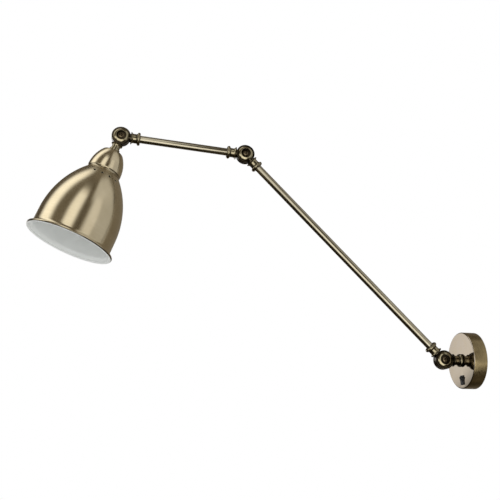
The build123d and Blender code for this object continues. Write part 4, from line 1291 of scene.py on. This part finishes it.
class SCONCE_OT_holder(bpy.types.Operator):
    """Lamp holder: phenolic cap and body, glazed insert, rolled screw shell and centre contact."""

    bl_idname = "sconce.holder"
    bl_label = "Lamp holder"

    def execute(self, context):
        sizes = context.scene.sconce_fittings
        place = standing(head_joint, shade_way, NEAR)
        hole = context.scene.sconce_knuckle.spigot_radius + FIT
        throat_end = sizes.holder_top + sizes.throat_length
        dome_end = throat_end + sizes.holder_dome
        skirt_bottom = dome_end + sizes.holder_skirt
        inside = sizes.holder_radius - sizes.holder_wall
        soft = 0.5 * MM
        shoulder = (sizes.holder_radius, dome_end)
        dome = arc(shoulder, (0, -1), (sizes.holder_throat, throat_end), steps=16)[::-1]
        throat = rounded(
            [
                (hole, sizes.holder_top, 0),
                (sizes.holder_throat, sizes.holder_top, soft),
                (sizes.holder_throat, throat_end, 0),
            ],
            closed=False,
        )
        skirt = rounded(
            [
                (*shoulder, 0),
                (sizes.holder_radius, skirt_bottom, soft),
                (inside, skirt_bottom, soft),
                (inside, dome_end, 0),
                (sizes.holder_throat, throat_end + sizes.holder_wall, 0),
                (hole, throat_end + sizes.holder_wall, 0),
                (hole, sizes.holder_top, 0),
            ],
            closed=False,
        )
        cap = turned(throat[:-1] + dome + skirt, finishes().phenolic)
        piece("pressed_holder_cap", cap, "holder_cap", place)
        body_outer = inside - FIT
        body_inner = body_outer - sizes.body_wall
        body_top = skirt_bottom + FIT
        body_end = dome_end + sizes.body_length
        mouth = sizes.shell_bore + sizes.shell_wall + FIT
        body = rounded(
            [
                (body_inner, dome_end, 0),
                (body_outer, dome_end, 0),
                (body_outer, body_top, 0),
                (sizes.holder_radius, body_top, soft),
                (sizes.holder_radius - sizes.body_taper, body_end, 2 * soft),
                (mouth, body_end, soft),
                (mouth, body_end - sizes.body_lip, 0),
                (body_inner, body_end - sizes.body_lip, 0),
            ]
        )
        piece("pressed_holder_body", turned(body, finishes().phenolic), "holder_body", place)
        insert_end = dome_end + sizes.insert_height
        contact_seat = insert_end - sizes.contact_height
        insert_radius = body_inner - FIT
        well_radius = sizes.contact_radius + 2 * FIT
        insert = rounded(
            [
                (0, dome_end, 0),
                (insert_radius, dome_end, 2 * soft),
                (insert_radius, insert_end, 2 * soft),
                (well_radius, insert_end, 0),
                (well_radius, contact_seat, 0),
                (0, contact_seat, 0),
            ],
            closed=False,
        )
        piece("glazed_holder_insert", turned(insert, finishes().steatite), "holder_insert", place)
        # The shell's thread swings about the middle of the room that the plain shell has
        swing = sizes.thread_depth
        shell_start = insert_end + sizes.shell_clearance
        bore = sizes.shell_bore + swing
        wall = sizes.shell_wall - 2 * swing
        rings = 120
        step = sizes.shell_length / rings
        up = [Vector((bore + wall, shell_start + step * ring)) for ring in range(rings + 1)]
        down = [Vector((bore, point.y)) for point in up[::-1]]
        thread = (swing, sizes.thread_pitch)
        shell = turned(up + down + up[:1], finishes().contact, segments=72, thread=thread)
        piece("rolled_holder_screw_shell", shell, "holder_screw_shell", place)
        contact_round = 1.2 * MM
        rounds = (0, contact_round)
        contact = stud(sizes.contact_radius, contact_seat, insert_end, rounds, finishes().contact)
        piece("pressed_holder_contact", contact, "holder_centre_contact", place)
        return {"FINISHED"}


class SCONCE_OT_fixings(bpy.types.Operator):
    """Bracket, terminal block, swivel hardware, screws and cables behind the canopy and in the tubes."""

    bl_idname = "sconce.fixings"
    bl_label = "Fixings and wiring"

    def execute(self, context):
        sizes = context.scene.sconce_fittings
        zinc = finishes().zinc
        softened("pressed_mounting_bracket", "mounting_bracket", zinc, width=0.2 * MM)
        softened("moulded_terminal_block", "terminal_block", finishes().nylon, width=0.25 * MM)
        softened("pressed_swivel_nut", "swivel_nut", zinc, width=0.4 * MM)
        finish_nodes(zinc, "earth_screw", "block_screw", "swivel_spring_washer")
        finish_nodes(finishes().fibre, "swivel_washer")
        cables = ("wall_cable", "long_arm_cable", "short_arm_cable", "shade_cable", "switch_lead")
        finish_nodes(finishes().sheath, *cables)
        # Grub screws with a hexagon socket, one at the top and one at the bottom of the canopy
        outside = high("canopy_screws", 2)
        depth = (low("canopy_screws", 1) + high("canopy_screws", 1)) / 2
        grub_length = 6 * MM
        rounds = (0.4 * MM, 0.2 * MM)
        grub = stud(sizes.grub_radius, -grub_length, 0, rounds, zinc, segments=40)
        socket = drill(sizes.grub_socket, 2 * sizes.grub_socket_depth, Matrix.Identity(4), sides=6)
        grub = combined(grub, socket, "DIFFERENCE")
        places = [(Vector((0, depth, way * outside)), UP * way) for way in (1, -1)]
        piece("turned_canopy_screws", set_out(grub, places, zinc), "canopy_screws")
        # Slotted clamp screws of the terminal block
        clamp_low, clamp_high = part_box("terminal_screws")
        radius = sizes.clamp_radius
        clamp_length = clamp_high.y - clamp_low.y
        clamp = stud(radius, -clamp_length, 0, (radius / 5, radius / 5), zinc, segments=36)
        slot = block((3 * radius, radius / 2, 2 * radius), (0, 0, 0))
        clamp = combined(clamp, slot, "DIFFERENCE")
        rows = (clamp_low.z + radius, clamp_high.z - radius)
        columns = (clamp_low.x + radius, clamp_high.x - radius)
        places = [(Vector((x, clamp_low.y, z)), -TO_WALL) for x in columns for z in rows]
        piece("turned_terminal_screws", set_out(clamp, places, zinc), "terminal_screws")
        return {"FINISHED"}


class SCONCE_OT_stage(bpy.types.Operator):
    """Floor, studio light and the camera."""

    bl_idname = "sconce.stage"
    bl_label = "Stage"

    def execute(self, context):
        scene = context.scene
        scene.view_settings.view_transform = "Standard"
        self.make_camera(scene)
        self.make_floor(scene)
        self.make_world(scene)
        self.make_lamps(scene)
        return {"FINISHED"}

    def make_camera(self, scene):
        """Camera below the lamp's middle, looking up and a little towards the wall."""
        place = Vector((1.06546, -0.58387, -0.15767))
        target = Vector((0, -0.36926, 0.16582))
        frame_pixels = 500
        focal_pixels = 713.69
        data = bpy.data.cameras.new("camera")
        data.sensor_width = 36
        data.lens = data.sensor_width * focal_pixels / frame_pixels
        camera = bpy.data.objects.new("camera", data)
        camera.location = place
        camera.rotation_euler = (target - place).to_track_quat("-Z", "Y").to_euler()
        scene.collection.objects.link(camera)
        scene.camera = camera

    def make_floor(self, scene):
        """Pale floor well below the canopy that fades to white away from the lamp."""
        drop = 1.6
        half = 6.0
        fade_start = 0.5
        fade_end = 1.6
        work = bmesh.new()
        middle = (cad_box[0] + cad_box[1]) / 2
        bmesh.ops.create_grid(
            work, x_segments=1, y_segments=1, size=half, matrix=Matrix.Translation((0, middle.y, -drop))
        )
        mesh = bpy.data.meshes.new("floor")
        work.to_mesh(mesh)
        work.free()
        material = bpy.data.materials.new("Matt white studio floor")
        material.use_nodes = True
        tree = material.node_tree
        tree.nodes.clear()
        place = add_node(tree, "ShaderNodeTexCoord").outputs["Object"]
        centred = add_node(tree, "ShaderNodeMapping", {"Vector": place, "Location": (0, -middle.y, drop)})
        far = add_node(tree, "ShaderNodeVectorMath", {0: centred}, operation="LENGTH")
        reach = {"Value": far, "From Min": fade_start, "From Max": fade_end}
        fade = add_node(tree, "ShaderNodeMapRange", reach, interpolation_type="SMOOTHSTEP")
        seen = add_node(tree, "ShaderNodeLightPath").outputs["Is Camera Ray"]
        faded = add_node(tree, "ShaderNodeMath", {0: fade, 1: seen}, operation="MULTIPLY")
        paint = add_node(tree, "ShaderNodeBsdfDiffuse", {"Color": scene.sconce_colours.floor})
        white = add_node(tree, "ShaderNodeEmission", {"Color": WHITE, "Strength": 1.0})
        mixed = add_node(tree, "ShaderNodeMixShader", {0: faded, 1: paint, 2: white})
        add_node(tree, "ShaderNodeOutputMaterial", {"Surface": mixed})
        mesh.materials.append(material)
        floor = show("floor", mesh)
        # The lamp hangs high above it, so its metal mirrors the studio and not the floor
        floor.visible_glossy = False

    def make_world(self, scene):
        """White surroundings for the camera; in reflections, soft boxes on a darker studio."""
        world = bpy.data.worlds.new("studio")
        scene.world = world
        world.use_nodes = True
        tree = world.node_tree
        tree.nodes.clear()
        way = add_node(tree, "ShaderNodeTexCoord").outputs["Generated"]
        # The studio's soft boxes lean with the shade, so that their streaks run down its side
        lean = atan2(-shade_way.y, -shade_way.z)
        leaned = add_node(tree, "ShaderNodeMapping", {"Vector": way, "Rotation": (lean, 0, 0)})
        flat = add_node(tree, "ShaderNodeSeparateXYZ", {"Vector": leaned}).outputs
        heading = add_node(tree, "ShaderNodeMath", {0: flat["Y"], 1: flat["X"]}, operation="ARCTAN2")
        height = add_node(tree, "ShaderNodeMath", {0: flat["Z"]}, operation="ARCSINE")
        # The studio is darkest below; its soft boxes are given in degrees, as heading from +X towards +Y,
        # half width, height, half height, then the softness of their edges and their brightness
        rise = {"Value": height, "From Min": radians(-40), "From Max": radians(30)}
        light = add_node(tree, "ShaderNodeMapRange", {**rise, "To Min": 0.05, "To Max": 0.14})
        for turn, wide, lift, tall, soft, bright in (
            (-156, 14, 3, 10, 4, 1.72),
            (-92, 20, 20, 50, 12, 1.8),
            (-56, 24, 20, 50, 10, 0.2),
            (-19, 15, 18, 32, 8, 1.5),
            (38, 17, 23, 29, 10, 1.0),
            (70, 34, 22, 30, 12, 0.65),
            (140, 40, 20, 50, 12, 0.26),
            (0, 32, -28, 21, 7, 2.5),
            (-46, 14, -17, 12, 6, 2.3),
            (80, 30, -45, 16, 8, 0.18),
            (58, 46, 60, 22, 10, 0.75),
            (0, 180, 90, 22, 6, 0.25),
        ):
            apart = add_node(tree, "ShaderNodeMath", {0: heading, 1: radians(turn)}, operation="SUBTRACT")
            beside = add_node(tree, "ShaderNodeMath", {0: apart, 1: pi, 2: -pi}, operation="WRAP")
            above = add_node(tree, "ShaderNodeMath", {0: height, 1: radians(lift)}, operation="SUBTRACT")
            inside = bright
            for distance, half in ((beside, wide), (above, tall)):
                away = add_node(tree, "ShaderNodeMath", {0: distance}, operation="ABSOLUTE")
                edge = {"Value": away, "From Min": radians(half + soft), "From Max": radians(half - soft)}
                glow = add_node(tree, "ShaderNodeMapRange", edge, interpolation_type="SMOOTHSTEP")
                inside = add_node(tree, "ShaderNodeMath", {0: inside, 1: glow}, operation="MULTIPLY")
            light = add_node(tree, "ShaderNodeMath", {0: light, 1: inside}, operation="MAXIMUM")
        path = add_node(tree, "ShaderNodeLightPath").outputs
        rays = {0: path["Is Glossy Ray"], 1: path["Is Transmission Ray"]}
        mirrored = add_node(tree, "ShaderNodeMath", rays, operation="MAXIMUM")
        ambient = 0.8
        lit = add_node(tree, "ShaderNodeMix", {0: mirrored, 2: ambient, 3: light}, data_type="FLOAT")
        views = {0: path["Is Camera Ray"], 2: lit, 3: 1.0}
        strength = add_node(tree, "ShaderNodeMix", views, data_type="FLOAT")
        # The studio's dim parts are brown, its soft boxes white
        white_strength = 0.6
        clear = add_node(tree, "ShaderNodeMapRange", {"Value": strength, "From Max": white_strength})
        tints = {0: clear, 6: scene.sconce_colours.dim_light, 7: WHITE}
        tint = add_node(tree, "ShaderNodeMix", tints, data_type="RGBA")
        background = add_node(tree, "ShaderNodeBackground", {"Color": tint, "Strength": strength})
        add_node(tree, "ShaderNodeOutputWorld", {"Surface": background})

    def make_lamps(self, scene):
        """Two large soft lamps, from the left above and from the right."""
        aim = (cad_box[0] + cad_box[1]) / 2
        for name, place, size, power in (
            ("key_lamp", Vector((0.9, -1.7, 1.5)), 1.2, 16),
            ("fill_lamp", Vector((1.6, 0.6, 0.5)), 1.2, 7),
        ):
            data = bpy.data.lights.new(name, "AREA")
            data.size = size
            data.energy = power
            lamp = bpy.data.objects.new(name, data)
            lamp.location = place
            lamp.rotation_euler = (aim - place).to_track_quat("-Z", "Y").to_euler()
            lamp.visible_glossy = False
            scene.collection.objects.link(lamp)


class SCONCE_PT_panel(bpy.types.Panel):
    """Sizes, colours and pieces of the sconce."""

    bl_idname = "SCONCE_PT_panel"
    bl_label = "Swing Arm Wall Sconce"
    bl_space_type = "VIEW_3D"
    bl_region_type = "UI"
    bl_category = "Sconce"

    def draw(self, context):
        layout = self.layout
        for group in property_groups:
            box = layout.box()
            box.label(text=group.title())
            settings = getattr(context.scene, f"sconce_{group}")
            for name in settings.bl_rna.properties.keys()[2:]:
                box.prop(settings, name)
        for operator in operators:
            layout.operator(operator.bl_idname)


property_groups = {
    "knuckle": SconceKnuckle,
    "shade": SconceShade,
    "fittings": SconceFittings,
    "colours": SconceColours,
}
operators = (
    SCONCE_OT_stage,
    SCONCE_OT_canopy,
    SCONCE_OT_switch,
    SCONCE_OT_knuckles,
    SCONCE_OT_collars,
    SCONCE_OT_tubes,
    SCONCE_OT_pivots,
    SCONCE_OT_shade,
    SCONCE_OT_holder,
    SCONCE_OT_fixings,
)


def register():
    """Register the classes and the scene's settings."""
    for cls in (*property_groups.values(), *operators, SCONCE_PT_panel):
        bpy.utils.register_class(cls)
    for group, cls in property_groups.items():
        setattr(bpy.types.Scene, f"sconce_{group}", bpy.props.PointerProperty(type=cls))


def unregister():
    """Remove the scene's settings and the classes."""
    for group in property_groups:
        delattr(bpy.types.Scene, f"sconce_{group}")
    for cls in (SCONCE_PT_panel, *reversed(operators), *reversed(property_groups.values())):
        bpy.utils.unregister_class(cls)


def main():
    """Build every piece and the stage."""
    register()
    for operator in operators:
        group, name = operator.bl_idname.split(".")
        getattr(getattr(bpy.ops, group), name)()


if __name__ == "__main__":
    main()
